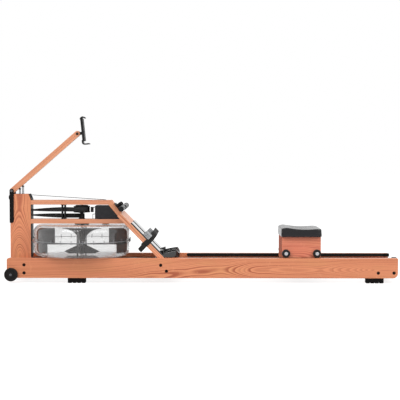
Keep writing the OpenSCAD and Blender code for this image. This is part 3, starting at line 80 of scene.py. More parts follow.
def linear(colour: Colour) -> tuple[float, float, float, float]:
    """Turns a colour as seen on a screen into the linear values of a socket."""
    return tuple(((c + 0.055) / 1.055) ** 2.4 if c > 0.04 else c / 12.92 for c in colour) + (1.0,)


# Shader maths


class Wire:
    """A node's output that can be used in a Python expression."""

    def __init__(self, bench: Bench, socket: bpy.types.NodeSocket) -> None:
        """Holds the socket and the bench that its nodes go to."""
        self.bench = bench
        self.socket = socket

    def math(self, operation: str, *others: Number) -> Wire:
        """Adds one Math node with this wire first and the other values after it."""
        values = dict(enumerate((self, *others)))
        return self.bench.node("Math", {"operation": operation}, values)[0]

    def turned(self, operation: str, first: Number) -> Wire:
        """Adds a Math node with another value in front of this wire."""
        return self.bench.node("Math", {"operation": operation}, {0: first, 1: self})[0]

    def __add__(self, other: Number) -> Wire:
        """Returns self + other."""
        return self.math("ADD", other)

    def __radd__(self, other: Number) -> Wire:
        """Returns other + self."""
        return self.turned("ADD", other)

    def __sub__(self, other: Number) -> Wire:
        """Returns self - other."""
        return self.math("SUBTRACT", other)

    def __rsub__(self, other: Number) -> Wire:
        """Returns other - self."""
        return self.turned("SUBTRACT", other)

    def __mul__(self, other: Number) -> Wire:
        """Returns self * other."""
        return self.math("MULTIPLY", other)

    def __rmul__(self, other: Number) -> Wire:
        """Returns other * self."""
        return self.turned("MULTIPLY", other)

    def __truediv__(self, other: Number) -> Wire:
        """Returns self / other."""
        return self.math("DIVIDE", other)

    def __rtruediv__(self, other: Number) -> Wire:
        """Returns other / self."""
        return self.turned("DIVIDE", other)

    def __pow__(self, other: Number) -> Wire:
        """Returns self to the power of other."""
        return self.math("POWER", other)

    def __rpow__(self, other: Number) -> Wire:
        """Returns other to the power of self."""
        return self.turned("POWER", other)

    def size(self) -> Wire:
        """Returns the absolute value."""
        return self.math("ABSOLUTE")

    def sine(self) -> Wire:
        """Returns the sine, with self in radians."""
        return self.math("SINE")

    def clamped(self) -> Wire:
        """Returns self kept between 0 and 1."""
        return self.math("MAXIMUM", 0.0).math("MINIMUM", 1.0)

    def step(self, low: float, high: float) -> Wire:
        """Rises smoothly from 0 at low to 1 at high."""
        settings = {"interpolation_type": "SMOOTHSTEP"}
        return self.bench.node("MapRange", settings, {0: self, 1: low, 2: high})[0]


Number = Wire | float


class Made:
    """A node that was just made, whose outputs are read as wires."""

    def __init__(self, bench: Bench, node: bpy.types.Node) -> None:
        """Holds the node."""
        self.bench = bench
        self.node = node

    def __getitem__(self, output: int | str) -> Wire:
        """Returns an output by its number or name."""
        return Wire(self.bench, self.node.outputs[output])


class Bench:
    """A material or a world, and the nodes that are put on it."""

    def __init__(self, owner: Material | bpy.types.World) -> None:
        """Empties the node tree that the bench works on.

        Args:
            owner: The material or world that has the tree.
        """
        self.owner = owner
        owner.use_nodes = True
        self.tree = owner.node_tree
        self.tree.nodes.clear()

    def node(self, kind: str, settings: dict | None = None, sockets: dict | None = None) -> Made:
        """Adds a node, sets it up, then fills or links its inputs.

        Args:
            kind: The node's type name, without its ShaderNode.
            settings: Its properties.
            sockets: Values or wires by input number or name.

        Returns:
            The node, whose outputs are read by number or name.
        """
        made = self.tree.nodes.new(f"ShaderNode{kind}")
        for key, value in (settings or {}).items():
            setattr(made, key, value)
        for key, value in (sockets or {}).items():
            if isinstance(value, Wire):
                self.tree.links.new(value.socket, made.inputs[key])
            else:
                made.inputs[key].default_value = value
        return Made(self, made)

    def place(self) -> Wire:
        """Returns the point on the object, in metres."""
        return self.node("TexCoord")["Object"]

    def facing(self) -> Wire:
        """Returns the direction that the surface faces."""
        return self.node("NewGeometry")["Normal"]

    def dot(self, first: Wire, second: Wire | tuple) -> Wire:
        """Returns the dot product of two vectors."""
        settings = {"operation": "DOT_PRODUCT"}
        return self.node("VectorMath", settings, {0: first, 1: second})["Value"]

    def along(self, direction: Vector, point: Wire | None = None) -> Wire:
        """Returns how far a point lies along a direction, in metres."""
        return self.dot(point or self.place(), tuple(direction))

    def joined(self, x: Number, y: Number, z: Number) -> Wire:
        """Returns a vector made of three numbers."""
        return self.node("CombineXYZ", None, {0: x, 1: y, 2: z})[0]

    def noise(self, point: Wire, scale: float, detail: float = 2.0, rough: float = 0.5) -> Wire:
        """Returns smooth noise from 0 to 1 at a point."""
        sockets = {"Vector": point, "Scale": scale, "Detail": detail, "Roughness": rough}
        return self.node("TexNoise", None, sockets)[0]

    def cells(self, point: Wire, scale: float) -> Wire:
        """Returns the distance to the nearest edge of random cells."""
        settings = {"feature": "DISTANCE_TO_EDGE"}
        return self.node("TexVoronoi", settings, {"Vector": point, "Scale": scale})["Distance"]

    def blended(self, share: Number, first: Wire | Colour, second: Wire | Colour) -> Wire:
        """Mixes two colours.

        Args:
            share: How much of the second colour shows, from 0 to 1.
            first: The first colour.
            second: The second colour.

        Returns:
            The mixed colour.
        """
        tones = [c if isinstance(c, Wire) else linear(c) for c in (first, second)]
        settings = {"data_type": "RGBA"}
        return self.node("Mix", settings, {0: share, 6: tones[0], 7: tones[1]})[2]

    def bevelled(self, radius: float) -> Wire:
        """Returns the surface's normal with its edges rounded to a radius in metres."""
        return self.node("Bevel", {"samples": 4}, {"Radius": radius})[0]

    def edges(self, radius: float) -> Wire:
        """Returns a mask that is 1 on edges sharper than a radius and 0 on flat faces."""
        bend = 1.0 - self.dot(self.bevelled(radius), self.facing())
        return (bend * EDGE_GAIN).clamped()

    def bump(self, height: Wire, depth: float, normal: Wire | None = None, strength: float = 1.0) -> Wire:
        """Returns a normal that follows a height.

        Args:
            height: The height, from 0 to 1.
            depth: What a height of 1 stands for, in metres.
            normal: The normal that the bumps stand on.
            strength: How much of the bump shows, from 0 to 1.

        Returns:
            The bumped normal.
        """
        sockets = {"Height": height, "Distance": depth, "Strength": strength}
        if normal is not None:
            sockets["Normal"] = normal
        return self.node("Bump", None, sockets)[0]

    def coat(self, **sockets: object) -> Material:
        """Ends the material in one Principled shader, with _ for a space in its inputs' names."""
        names = {key.replace("_", " "): value for key, value in sockets.items()}
        return self.ended(self.node("BsdfPrincipled", None, names)[0])

    def ended(self, surface: Wire) -> Material:
        """Links a shader to the material's output and returns the material."""
        self.node("OutputMaterial", None, {"Surface": surface})
        return self.owner


# Finishes


DULL_STEEL = (0.52, 0.53, 0.55)
MOULD_EDGE = 0.9 * MM


def rubbed(tone: Colour) -> Colour:
    """Returns the paler tone that paint and plastic take on rubbed edges."""
    return tuple(c + 0.13 for c in tone)


@dataclass(frozen=True)
class Finish:
    """A surface's look, made as one material of its name."""

    name: str

    def bench(self) -> Bench:
        """Returns a bench for the finish's new material."""
        return Bench(bpy.data.materials.new(self.name))

    def make(self) -> Material:
        """Returns the finish's material."""
        raise NotImplementedError


@dataclass(frozen=True)
class Oak(Finish):
    """Lacquered oak, cut from a log whose heart lies behind the board's broad face.

    Each flame is a stretch of the grain, from one place to another, over which the heart draws nearer
    and the rings form arches. Over the wander's stretch the heart moves sideways.
    """

    grain: Vector
    broad: Vector
    heart: tuple[float, float]
    lean: float = 0.02
    mirrored: bool = False
    flames: tuple[Point, ...] = ()
    wander: Point = (0.0, 1.0, 0.0)
    light: Colour = (0.915, 0.592, 0.425)
    dark: Colour = (0.68, 0.35, 0.23)
    pore: Colour = (0.58, 0.31, 0.21)
    honey: Colour = (0.90, 0.64, 0.42)
    ray: Colour = (0.93, 0.64, 0.47)
    worn: Colour = (0.93, 0.67, 0.51)
    # Tone of faces that look along the grain: end grain's own darker colour plus painted shade.
    end_grain_and_shade: Colour = (0.60, 0.30, 0.21)
    ring: float = 4.2 * MM
    pore_depth: float = 0.2 * MM
    edge: float = 1.2 * MM
    bevel: float = 1.6 * MM

    def make(self) -> Material:
        """Builds the wood.

        Returns:
            The material, with rings, pores, flecks and worn edges.
        """
        b = self.bench()
        grain, broad = self.grain.normalized(), self.broad.normalized()
        g, v, u = b.along(grain), b.along(broad), b.along(grain.cross(broad))
        if self.mirrored:
            v = v.size()
        drift = b.noise(b.joined(g * 1.3, u * 3.0, v * 3.0), 1.0, 3.0) - 0.5
        sway = b.noise(b.joined(g * 0.7 + 7.3, u * 1.5, v * 1.5), 1.0, 2.0) - 0.5
        start, stop, shift = self.wander
        du = u - self.heart[0] - g.step(start, stop) * shift + sway * 0.07
        dv = v - self.heart[1] + g * self.lean + drift * 0.05
        for start, stop, rise in self.flames:
            dv = dv - g.step(start, stop) * rise
        radius = (du * du + dv * dv) ** 0.5
        fine = b.noise(b.joined(g * 9.0, u * 120.0, v * 120.0), 1.0, 2.0) - 0.5
        turn = (radius + fine * 0.0012) / self.ring
        year = turn.math("FRACT")
        early = year.step(0.0, 0.12) * (1.0 - year.step(0.22, 0.85))
        uneven = b.noise(b.joined(turn.math("FLOOR") * 0.9, g * 1.1, 0.5), 1.0, 1.0).step(0.42, 0.66)
        streak = b.noise(b.joined(g * 5.0, u * 900.0, v * 900.0), 1.0, 2.0, 0.6)
        pores = streak.step(0.60, 0.68) * (early * 0.85 + 0.15)
        rays = b.noise(b.joined(g * 60.0, u * 25.0, v * 260.0), 1.0, 1.0).step(0.66, 0.74)
        cloud = b.noise(b.joined(g * 2.0 + 5.2, u * 14.0, v * 14.0), 1.0, 3.0) - 0.5
        patches = b.noise(b.joined(g * 4.0 + 3.1, u * 22.0, v * 22.0), 1.0, 2.0).step(0.45, 0.75)
        depth = (early * (uneven * 0.6 + 0.35) + cloud * 0.35 + 0.05).clamped()
        # Faces that look along the grain are darkened: partly end grain's own darker tone, partly painted
        # shade.
        ends = b.along(grain, b.facing()).size().step(0.75, 0.95)
        colour = b.blended(patches * 0.35, self.light, self.honey)
        for share, tone in ((depth, self.dark), (pores * 0.55, self.pore), (rays * 0.22, self.ray),
                            (b.edges(self.edge) * 0.3, self.worn), (ends * 0.75, self.end_grain_and_shade)):
            colour = b.blended(share, colour, tone)
        height = 1.0 - pores * 0.7 - early * 0.25
        normal = b.bump(height, self.pore_depth, b.bevelled(self.bevel), 0.5)
        rough = 0.42 + pores * 0.25 - rays * 0.06 + cloud * 0.1 + ends * 0.4
        return b.coat(Base_Color=colour, Roughness=rough, Normal=normal, Specular_IOR_Level=0.4,
                      Coat_Weight=0.15 - ends * 0.15, Coat_Roughness=0.3)


@dataclass(frozen=True)
class PowderCoat(Finish):
    """Black paint baked on metal, with a fine orange-peel skin."""

    tone: Colour
    rough: float = 0.42
    shine: float = 0.28
    edge: float = 0.8 * MM
    peel_depth: float = 0.15 * MM

    def make(self) -> Material:
        """Builds the paint.

        Returns:
            The material.
        """
        b = self.bench()
        point = b.place()
        peel = b.noise(point, 900.0, 2.0)
        wide = b.noise(point, 14.0, 3.0) - 0.5
        colour = b.blended(b.edges(self.edge) * 0.6 + wide * 0.12, self.tone, rubbed(self.tone))
        normal = b.bump(peel, self.peel_depth, b.bevelled(self.edge), 0.35)
        rough = self.rough + wide * 0.14 + (peel - 0.5) * 0.1
        return b.coat(Base_Color=colour, Roughness=rough, Normal=normal, Specular_IOR_Level=self.shine)


class Texture(Enum):
    """The skins that a mould gives to plastic and rubber, by the scale of their grain."""

    SPARK = 1400.0
    LEATHER = 700.0
    SMOOTH = 260.0


@dataclass(frozen=True)
class Moulded(Finish):
    """Moulded plastic or rubber with the mould's skin, flow marks and rubbed edges.

    Ribs, if given, run square to a direction at a pitch and a height, with painted shade in their grooves.
    """

    tone: Colour
    skin: Texture = Texture.SPARK
    rough: float = 0.5
    depth: float = 0.12 * MM
    shine: float = 0.28
    lacquer: float = 0.0
    ribs: tuple[Vector, float, float] | None = None
    groove_shade: Colour = (0.04, 0.04, 0.04)

    def make(self) -> Material:
        """Builds the plastic.

        Returns:
            The material.
        """
        b = self.bench()
        point = b.place()
        wide = b.noise(point, 11.0, 3.0) - 0.5
        if self.skin is Texture.LEATHER:
            skin = b.cells(point, self.skin.value).step(0.0, 0.16)
        else:
            skin = b.noise(point, self.skin.value, 1.0)
        colour = b.blended(b.edges(MOULD_EDGE) * 0.55 + wide * 0.25, self.tone, rubbed(self.tone))
        normal = b.bump(skin, self.depth, b.bevelled(MOULD_EDGE), 0.5)
        if self.ribs:
            direction, pitch, height = self.ribs
            rib = (b.along(direction) * (math.tau / pitch)).sine().step(-0.2, 0.5)
            normal = b.bump(rib, height, normal, 0.8)
            # Painted shade: the grooves between the ribs are darkened.
            colour = b.blended((1.0 - rib) * 0.3, colour, self.groove_shade)
        rough = (wide * 0.3 + (skin - 0.5) * 0.2 + 1.0) * self.rough
        return b.coat(Base_Color=colour, Roughness=rough, Normal=normal, Specular_IOR_Level=self.shine,
                      Coat_Weight=self.lacquer, Coat_Roughness=0.06)


@dataclass(frozen=True)
class BareSteel(Finish):
    """Turned or plated steel, with fine lines from the lathe."""

    tone: Colour = (0.70, 0.70, 0.71)
    rough: float = 0.28
    line_depth: float = 0.05 * MM

    def make(self) -> Material:
        """Builds the steel.

        Returns:
            The material.
        """
        b = self.bench()
        point = b.place()
        x, y, z = (b.along(way, point) for way in (ALONG, ACROSS, UP))
        lines = b.noise(b.joined(x * 90.0, y * 90.0, z * 1800.0), 1.0, 2.0)
        smear = b.noise(point, 60.0, 3.0)
        colour = b.blended(smear * 0.4, self.tone, DULL_STEEL)
        normal = b.bump(lines, self.line_depth, None, 0.4)
        rough = self.rough + (lines - 0.5) * 0.2 + (smear - 0.5) * 0.1
        return b.coat(Base_Color=colour, Metallic=1.0, Roughness=rough, Normal=normal)


@dataclass(frozen=True)
class HubbedWheel(Finish):
    """A black wheel on a bright steel axle, whose bolt head shows at the wheel's middle."""

    hub: tuple[float, float]
    hub_radius: float = 10.1 * MM
    blur: float = 0.2 * MM
    tread: Colour = (0.085, 0.085, 0.09)
    worn: Colour = (0.27, 0.27, 0.28)
    steel: Colour = (0.74, 0.74, 0.75)

    def make(self) -> Material:
        """Builds the wheel's plastic and its steel.

        Returns:
            One material for both.
        """
        b = self.bench()
        point = b.place()
        dx = b.along(ALONG, point) - self.hub[0]
        dz = b.along(UP, point) - self.hub[1]
        away = (dx * dx + dz * dz) ** 0.5
        metal = 1.0 - away.step(self.hub_radius - self.blur, self.hub_radius + self.blur)
        turned = b.noise(b.joined(dx * 40.0, 0.0, dz * 40.0), 30.0, 2.0)
        wide = b.noise(point, 18.0, 3.0)
        plastic = b.blended(b.edges(MOULD_EDGE) * 0.4 + (wide - 0.5) * 0.25, self.tread, self.worn)
        colour = b.blended(metal, plastic, b.blended(turned * 0.5, self.steel, DULL_STEEL))
        normal = b.bump(wide, 0.2 * MM, b.bevelled(MOULD_EDGE), 0.3)
        rough = 0.5 - metal * 0.24 + (turned - 0.5) * 0.12
        return b.coat(Base_Color=colour, Metallic=metal, Roughness=rough, Normal=normal,
                      Specular_IOR_Level=0.28)


@dataclass(frozen=True)
class SleevedSteel(Finish):
    """Dark steel wire with a black rubber sleeve between its two legs."""

    wire: Colour = (0.20, 0.20, 0.20)
    rubber: Colour = (0.09, 0.09, 0.09)
    legs: float = 19.5 * MM
    blur: float = 0.3 * MM

    def make(self) -> Material:
        """Builds the wire and its sleeve.

        Returns:
            One material for both.
        """
        b = self.bench()
        point = b.place()
        leg = b.along(ACROSS, point).size().step(self.legs - self.blur, self.legs + self.blur)
        grime = b.noise(point, 120.0, 3.0)
        colour = b.blended(leg, self.rubber, self.wire)
        colour = b.blended((grime - 0.4) * 0.3, colour, self.wire)
        normal = b.bump(grime, 0.1 * MM, None, 0.3)
        return b.coat(Base_Color=colour, Metallic=leg * 0.5, Roughness=0.62 - leg * 0.12, Normal=normal,
                      Specular_IOR_Level=0.25)


@dataclass(frozen=True)
class ClearShell(Finish):
    """Clear polycarbonate, thin enough to see straight through, with a bright gloss."""

    tint: Colour = (0.965, 0.965, 0.965)
    gloss: Colour = (0.86, 0.86, 0.86)
    haze: float = 0.05
    ripple: float = 0.2 * MM

    def make(self) -> Material:
        """Builds the clear plastic.

        Returns:
            The material: clear face on, glossy and paler towards its edges.
        """
        b = self.bench()
        wipe = b.noise(b.place(), 9.0, 4.0, 0.6)
        rim = b.node("LayerWeight", None, {"Blend": 0.35})["Facing"]
        clear = b.node("BsdfTransparent", None, {"Color": linear(self.tint)})
        wave = b.bump(b.noise(b.place(), 26.0, 1.0), self.ripple, None, 0.3)
        rough = wipe * 0.06 + 0.02
        sockets = {"Base Color": linear(self.gloss), "Metallic": 0.8, "Roughness": rough, "Normal": wave}
        gloss = b.node("BsdfPrincipled", None, sockets)
        share = (rim ** 2.6 * 0.95 + self.haze + (wipe - 0.5) * 0.03).clamped()
        return b.ended(b.node("MixShader", None, {0: share, 1: clear[0], 2: gloss[0]})[0])


@dataclass(frozen=True)
class Woven(Finish):
    """Woven tape or braid, laid out along and across the piece's own length."""

    tone: Colour
    thread: float
    slant: float = 0.0
    stitch: Colour | None = None
    rough: float = 0.72
    thread_depth: float = 0.25 * MM
    stitch_row: float = 13.5 * MM
    stitch_pitch: float = 6 * MM

    def make(self) -> Material:
        """Builds the weave.

        Returns:
            The material, whose threads follow the piece's UV map, in metres.
        """
        b = self.bench()
        spread = b.node("UVMap", {"uv_map": LENGTH_MAP})[0]
        parts = b.node("SeparateXYZ", None, {0: spread})
        along = parts[0] + parts[1] * self.slant
        over = parts[1] - parts[0] * self.slant
        warp, weft = ((way * (math.pi / self.thread)).sine() for way in (over, along))
        crossing = (warp * weft).step(-0.15, 0.15)
        height = warp.size() * crossing + weft.size() * (1.0 - crossing)
        fluff = b.noise(b.place(), 500.0, 3.0)
        shaded = tuple(c * 0.45 for c in self.tone)
        colour = b.blended((height * 0.8 + fluff * 0.3).clamped(), shaded, self.tone)
        if self.stitch:
            row = (parts[1].size() - self.stitch_row).size().math("LESS_THAN", 0.5 * MM)
            dash = (parts[0] * (math.tau / self.stitch_pitch)).sine().step(-0.2, 0.0)
            colour = b.blended(row * dash * 0.9, colour, self.stitch)
        normal = b.bump(height + fluff * 0.3, self.thread_depth, None, 0.6)
        return b.coat(Base_Color=colour, Roughness=self.rough - height * 0.12, Normal=normal,
                      Specular_IOR_Level=0.3)


# Meshes


def finished(mesh: BMesh, name: str, material: Material, smooth: bool = True) -> Object:
    """Turns an edited mesh into an object in the scene, and reports it.

    Args:
        mesh: The edited mesh, which is freed.
        name: The object's name.
        material: Its finish.
        smooth: Whether its faces are shaded smoothly.

    Returns:
        The new object.
    """
    bmesh.ops.recalc_face_normals(mesh, faces=mesh.faces)
    data = bpy.data.meshes.new(name)
    for face in mesh.faces:
        face.smooth = smooth
    mesh.to_mesh(data)
    mesh.free()
    data.materials.append(material)
    piece = bpy.data.objects.new(name, data)
    bpy.context.scene.collection.objects.link(piece)
    log.info("%s: %d faces made", name, len(data.polygons))
    return piece


def subdivided(piece: Object, levels: int) -> None:
    """Rounds a piece with a subdivision surface that is applied to its mesh.

    Args:
        piece: The piece.
        levels: How many times its faces are divided.
    """
    modifier = piece.modifiers.new("rounding", "SUBSURF")
    modifier.levels = modifier.render_levels = levels
    bpy.context.view_layer.objects.active = piece
    with bpy.context.temp_override(object=piece, active_object=piece, selected_objects=[piece]):
        bpy.ops.object.modifier_apply(modifier=modifier.name)


@dataclass
class Station:
    """One place on a belt or cord: its centre, and the directions of its width and thickness."""

    centre: Vector
    wide: Vector
    thick: Vector


def rounded(width: float, sides: int) -> Outline:
    """Returns a circle's outline."""
    angles = [math.tau * k / sides for k in range(sides)]
    return [(width / 2 * math.cos(a), width / 2 * math.sin(a)) for a in angles]


def flattened(width: float, thickness: float, sides: int) -> Outline:
    """Draws a tape's outline.

    Args:
        width: The tape's width.
        thickness: Its thickness.
        sides: How many points the outline has.

    Returns:
        The points, which give it flat faces and round edges.
    """
    flat = (width - thickness) / 2
    half = sides // 2
    outline = []
    for turn, shift in ((0, flat), (1, -flat)):
        for k in range(half):
            angle = -math.pi / 2 + math.pi * k / (half - 1) + math.pi * turn
            outline.append((math.cos(angle) * thickness / 2 + shift, math.sin(angle) * thickness / 2))
    return outline


def lofted(
    mesh: BMesh,
    stations: Sequence[Station],
    outline: Callable[[float], Outline],
    closed: bool = False,
) -> None:
    """Adds a tape or cord to a mesh, with its length written to the mesh's UV map.

    Args:
        mesh: The mesh to add to.
        stations: The places that it passes through.
        outline: Gives the cross-section at a share of the length, from 0 to 1.
        closed: Whether the last station joins the first.
    """
    uv = mesh.loops.layers.uv.get(LENGTH_MAP) or mesh.loops.layers.uv.new(LENGTH_MAP)
    rings, places = [], [0.0]
    for before, after in zip(stations, stations[1:]):
        places.append(places[-1] + (after.centre - before.centre).length)
    for k, station in enumerate(stations):
        shape = outline(k / (len(stations) - 1))
        rings.append([
            (mesh.verts.new(station.centre + station.wide * x + station.thick * y), x + y * 0.5)
            for x, y in shape
        ])
    pairs = list(zip(rings, rings[1:], places, places[1:]))
    if closed:
        last = places[-1] + (stations[0].centre - stations[-1].centre).length
        pairs.append((rings[-1], rings[0], places[-1], last))
    for first, second, low, high in pairs:
        count = len(first)
        for k in range(count):
            n = (k + 1) % count
            corners = [(first[k], low), (first[n], low), (second[n], high), (second[k], high)]
            face = mesh.faces.new([vert for (vert, _), _ in corners])
            for loop, ((_, side), length) in zip(face.loops, corners):
                loop[uv].uv = (length, side)
    if not closed:
        for ring in (rings[0], rings[-1]):
            mesh.faces.new([vert for vert, _ in ring])


def arc(centre: Vector, radius: float, start: float, stop: float, steps: int) -> list[Vector]:
    """Returns points on an arc in the XZ plane, with its angles in degrees."""
    angles = [math.radians(start + (stop - start) * k / steps) for k in range(steps + 1)]
    return [centre + radius * Vector((math.cos(a), 0, math.sin(a))) for a in angles]


def spaced(first: Vector, last: Vector, steps: int) -> list[Vector]:
    """Returns points on a straight line, without its ends."""
    return [first.lerp(last, k / steps) for k in range(1, steps)]


def flat_stations(points: Sequence[Vector], wide: Vector = ACROSS, closed: bool = False) -> list[Station]:
    """Makes the stations of a belt or strap whose width keeps one direction.

    Args:
        points: The route.
        wide: The direction of its width.
        closed: Whether the route is a loop.

    Returns:
        One station at each point.
    """
    stations = []
    count = len(points)
    for k, point in enumerate(points):
        before = points[k - 1] if closed or k else point
        after = points[(k + 1) % count] if closed or k < count - 1 else point
        thick = (after - before).normalized().cross(wide).normalized()
        stations.append(Station(point, wide, thick))
    return stations


# The frame's own places


@dataclass(frozen=True)
class Layout:
    """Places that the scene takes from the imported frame, in metres."""

    joints: dict = field(default_factory=lambda: {j["name"]: j for j in frame["joints"]})

    def pin(self, joint: str) -> Vector:
        """Returns the point that a hinge turns about, on the machine's middle plane."""
        x, _, z = self.joints[joint]["pos_m"]
        return Vector((x, 0, z))

    def plank(self) -> tuple[Vector, Vector, Vector]:
        """Finds the foot plank's upper face.

        Returns:
            The middle of the top end of its face, the way up its slope, and the way out of its face.
        """
        up_slope = Vector(self.joints["foot_rest_left_slide"]["axis"]).normalized()
        out = Vector((up_slope.z, 0, -up_slope.x))
        low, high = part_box("foot_plank")
        vertices = frame["nodes"]["foot_plank"].data.vertices
        top = max((v.co for v in vertices), key=lambda co: round(co.z, 5) + co.x * 1e-3)
        return Vector((top.x, (low.y + high.y) / 2, top.z)), up_slope, out


# Soft pieces


@dataclass
class Belts:
    """The drive belt, the recoil belt and the stretch of belt that leads to the handle."""

    layout: Layout
    width: float = 24 * MM
    thick: float = 2 * MM
    gap: float = 0.3 * MM
    top_radius: float = 22 * MM
    small_radius: float = 15 * MM
    lead_radius: float = 8 * MM
    lead_angle: float = 68.0
    drum_radius: float = 45.25 * MM
    recoil_radius: float = 15.25 * MM
    drive_side: float = -17 * MM
    recoil_side: float = 6 * MM
    post: float = 3.5 * MM
    roll_edge: float = 3 * MM
    twist_steps: int = 40
    wrap_steps: int = 18
    wrap_step: float = 4.0
    finish: Woven = Woven("belt webbing", (0.12, 0.12, 0.125), 1.1 * MM)

    def dress(self) -> None:
        """Builds the three belts and puts them in place of the plain ones."""
        material = self.finish.make()
        self._piece("drive_belt", self._drive(), material)
        self._piece("recoil_belt", self._recoil(), material)
        self._lead(material)

    def _middle(self, radius: float) -> float:
        """Returns the radius of the belt's middle line on a pulley."""
        return radius + self.gap + self.thick / 2

    def _drive(self) -> list[Station]:
        """Draws the belt from the lead roller over the tower to the drive drum.

        Returns:
            Its stations.
        """
        top, low, lead = (self.layout.pin(f"{n}_spin") for n in ("top_pulley", "deflector", "lead_roller"))
        run = lead - top
        leaving = math.acos((self.top_radius - self.lead_radius) / run.length)
        square = math.degrees(math.atan2(run.z, run.x) + leaving)
        first = arc(lead, self._middle(self.lead_radius), self.lead_angle, square, 8)
        over = arc(top, self._middle(self.top_radius), square, 180, 20)
        under = arc(low, self._middle(self.small_radius), 180, 270, 14)
        points = first + spaced(first[-1], over[0], 30) + over + under
        return self._wound("drive_belt", points, self.drive_side, self.drum_radius, 1)

    def _recoil(self) -> list[Station]:
        """Draws the belt from the cord's clip over its pulley to the recoil drum.

        Returns:
            Its stations.
        """
        bend = arc(self.layout.pin("recoil_pulley_spin"), self._middle(self.small_radius), 180, 90, 14)
        foot = Vector((bend[0].x, 0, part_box("recoil_belt")[0].z))
        points = [foot] + spaced(foot, bend[0], 6) + bend
        return self._wound("recoil_belt", points, self.recoil_side, self.recoil_radius, -1)

    def _level(self, node: str) -> float:
        """Finds the height at which a belt's plain solid meets its drum.

        Args:
            node: The plain solid's node.

        Returns:
            The height of the belt's middle.
        """
        vertices = [v.co for v in frame["nodes"][node].data.vertices]
        far = max(abs(co.y) for co in vertices)
        ends = [co.z for co in vertices if abs(co.y) > far - self.roll_edge]
        return (min(ends) + max(ends)) / 2

    def _wound(
        self, node: str, points: list[Vector], place: float, radius: float, side: int
    ) -> list[Station]:
        """Leads a belt on from its last pulley, twisted upright, to a short way round its drum.

        Args:
            node: The belt's plain solid.
            points: The belt's route, up to where it leaves its last pulley.
            place: Its place across the machine at the guide's last posts.
            radius: Its radius on the drum.
            side: 1 if it meets the drum on its left, -1 on its right.

        Returns:
            The whole belt's stations.
        """
        stations = flat_stations(points)
        start, level = points[-1], self._level(node)
        guide = Vector((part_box("belt_guide")[1].x - self.post, place, level))
        for k in range(1, self.twist_steps + 1):
            share = k / self.twist_steps
            c, s = math.cos(math.pi / 2 * share), math.sin(math.pi / 2 * share)
            stations.append(Station(start.lerp(guide, share), Vector((0, c, s)), Vector((0, -s, c))))
        hub = self.layout.pin("drum_spin")
        away = Vector((guide.x - hub.x, place))
        turn = math.atan2(away.y, away.x) + side * math.acos(radius / away.length)
        for k in range(self.wrap_steps + 1):
            angle = turn + side * math.radians(self.wrap_step * k)
            out = Vector((math.cos(angle), math.sin(angle), 0))
            stations.append(Station(Vector((hub.x, 0, level)) + out * radius, UP, out))
        return stations

    def _lead(self, material: Material) -> None:
        """Builds the belt that stretches from the lead roller to the handle as it is pulled.

        Args:
            material: The belts' finish.
        """
        low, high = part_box("belt_lead")
        first = Vector((low.x, 0, high.z - self.thick / 2))
        last = Vector((high.x, 0, low.z + self.thick / 2))
        points = [first] + spaced(first, last, 60) + [last]
        piece = self._piece("belt_lead", flat_stations(points), material, rides=False)
        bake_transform(piece)

    def _piece(
        self, node: str, stations: list[Station], material: Material, rides: bool = True
    ) -> Object:
        """Makes one belt, gives it its finish and hides the plain solid.

        Args:
            node: The CAD node that it stands for.
            stations: The belt's route.
            material: Its finish.
            rides: Whether it rides on the frame.

        Returns:
            The belt.
        """
        mesh = bmesh.new()
        lofted(mesh, stations, lambda _: flattened(self.width, self.thick, 12))
        piece = finished(mesh, f"{node}_webbing", material)
        if rides:
            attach(piece, "frame")
        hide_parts(node)
        return piece


@dataclass
class ShockCord:
    """The elastic cord at the foot of the tower, with its crimps and its anchor."""

    layout: Layout
    radius: float = 4 * MM
    bend: float = 14 * MM
    crimp: float = 6.5 * MM
    clip_reach: float = 12 * MM
    anchor_reach: float = 16 * MM
    finish: Woven = Woven("braided cord", (0.20, 0.20, 0.21), 1.2 * MM, 0.9)
    metal: BareSteel = BareSteel("crimp steel")

    def dress(self) -> None:
        """Builds the cord and its metal ends in place of the plain ones."""
        _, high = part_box("shock_cord")
        turn = arc(self.layout.pin("cord_pulley_spin"), self.bend, 180, 270, 16)
        head = Vector((turn[0].x, 0, high.z - self.radius))
        tail = Vector((high.x - self.anchor_reach, 0, turn[-1].z))
        points = [head] + spaced(head, turn[0], 10) + turn + spaced(turn[-1], tail, 40) + [tail]
        mesh = bmesh.new()
        lofted(mesh, flat_stations(points), lambda _: rounded(2 * self.radius, 16))
        cord = finished(mesh, "shock_cord_braid", self.finish.make())
        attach(cord, "frame")
        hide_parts("shock_cord")
        steel = self.metal.make()
        self._crimp("cord_clip", head, UP, self.clip_reach, steel)
        self._crimp("cord_anchor", tail, ALONG, self.anchor_reach, steel)

    def _crimp(self, name: str, place: Vector, way: Vector, reach: float, steel: Material) -> None:
        """Builds a crimped sleeve on the cord's end and the eye that holds it.

        Args:
            name: The piece's name.
            place: The cord's end.
            way: The direction in which the cord pulls.
            reach: How far the eye lies beyond the cord's end.
            steel: The finish.
        """
        profile = [(-22, 0.7), (-21, 1.0), (-15, 1.0), (-14, 0.86), (-11, 0.86), (-10, 1.0),
                   (-4, 1.0), (-3, 0.86), (0, 0.8), (reach / MM, 0.45)]
        thick = way.cross(ACROSS).normalized()
        stations = [Station(place + way * d * MM, ACROSS, thick) for d, _ in profile]
        widths = [2 * self.crimp * size for _, size in profile]
        mesh = bmesh.new()
        lofted(mesh, stations, lambda share: rounded(widths[round(share * (len(widths) - 1))], 20))
        piece = finished(mesh, name, steel)
        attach(piece, "frame")


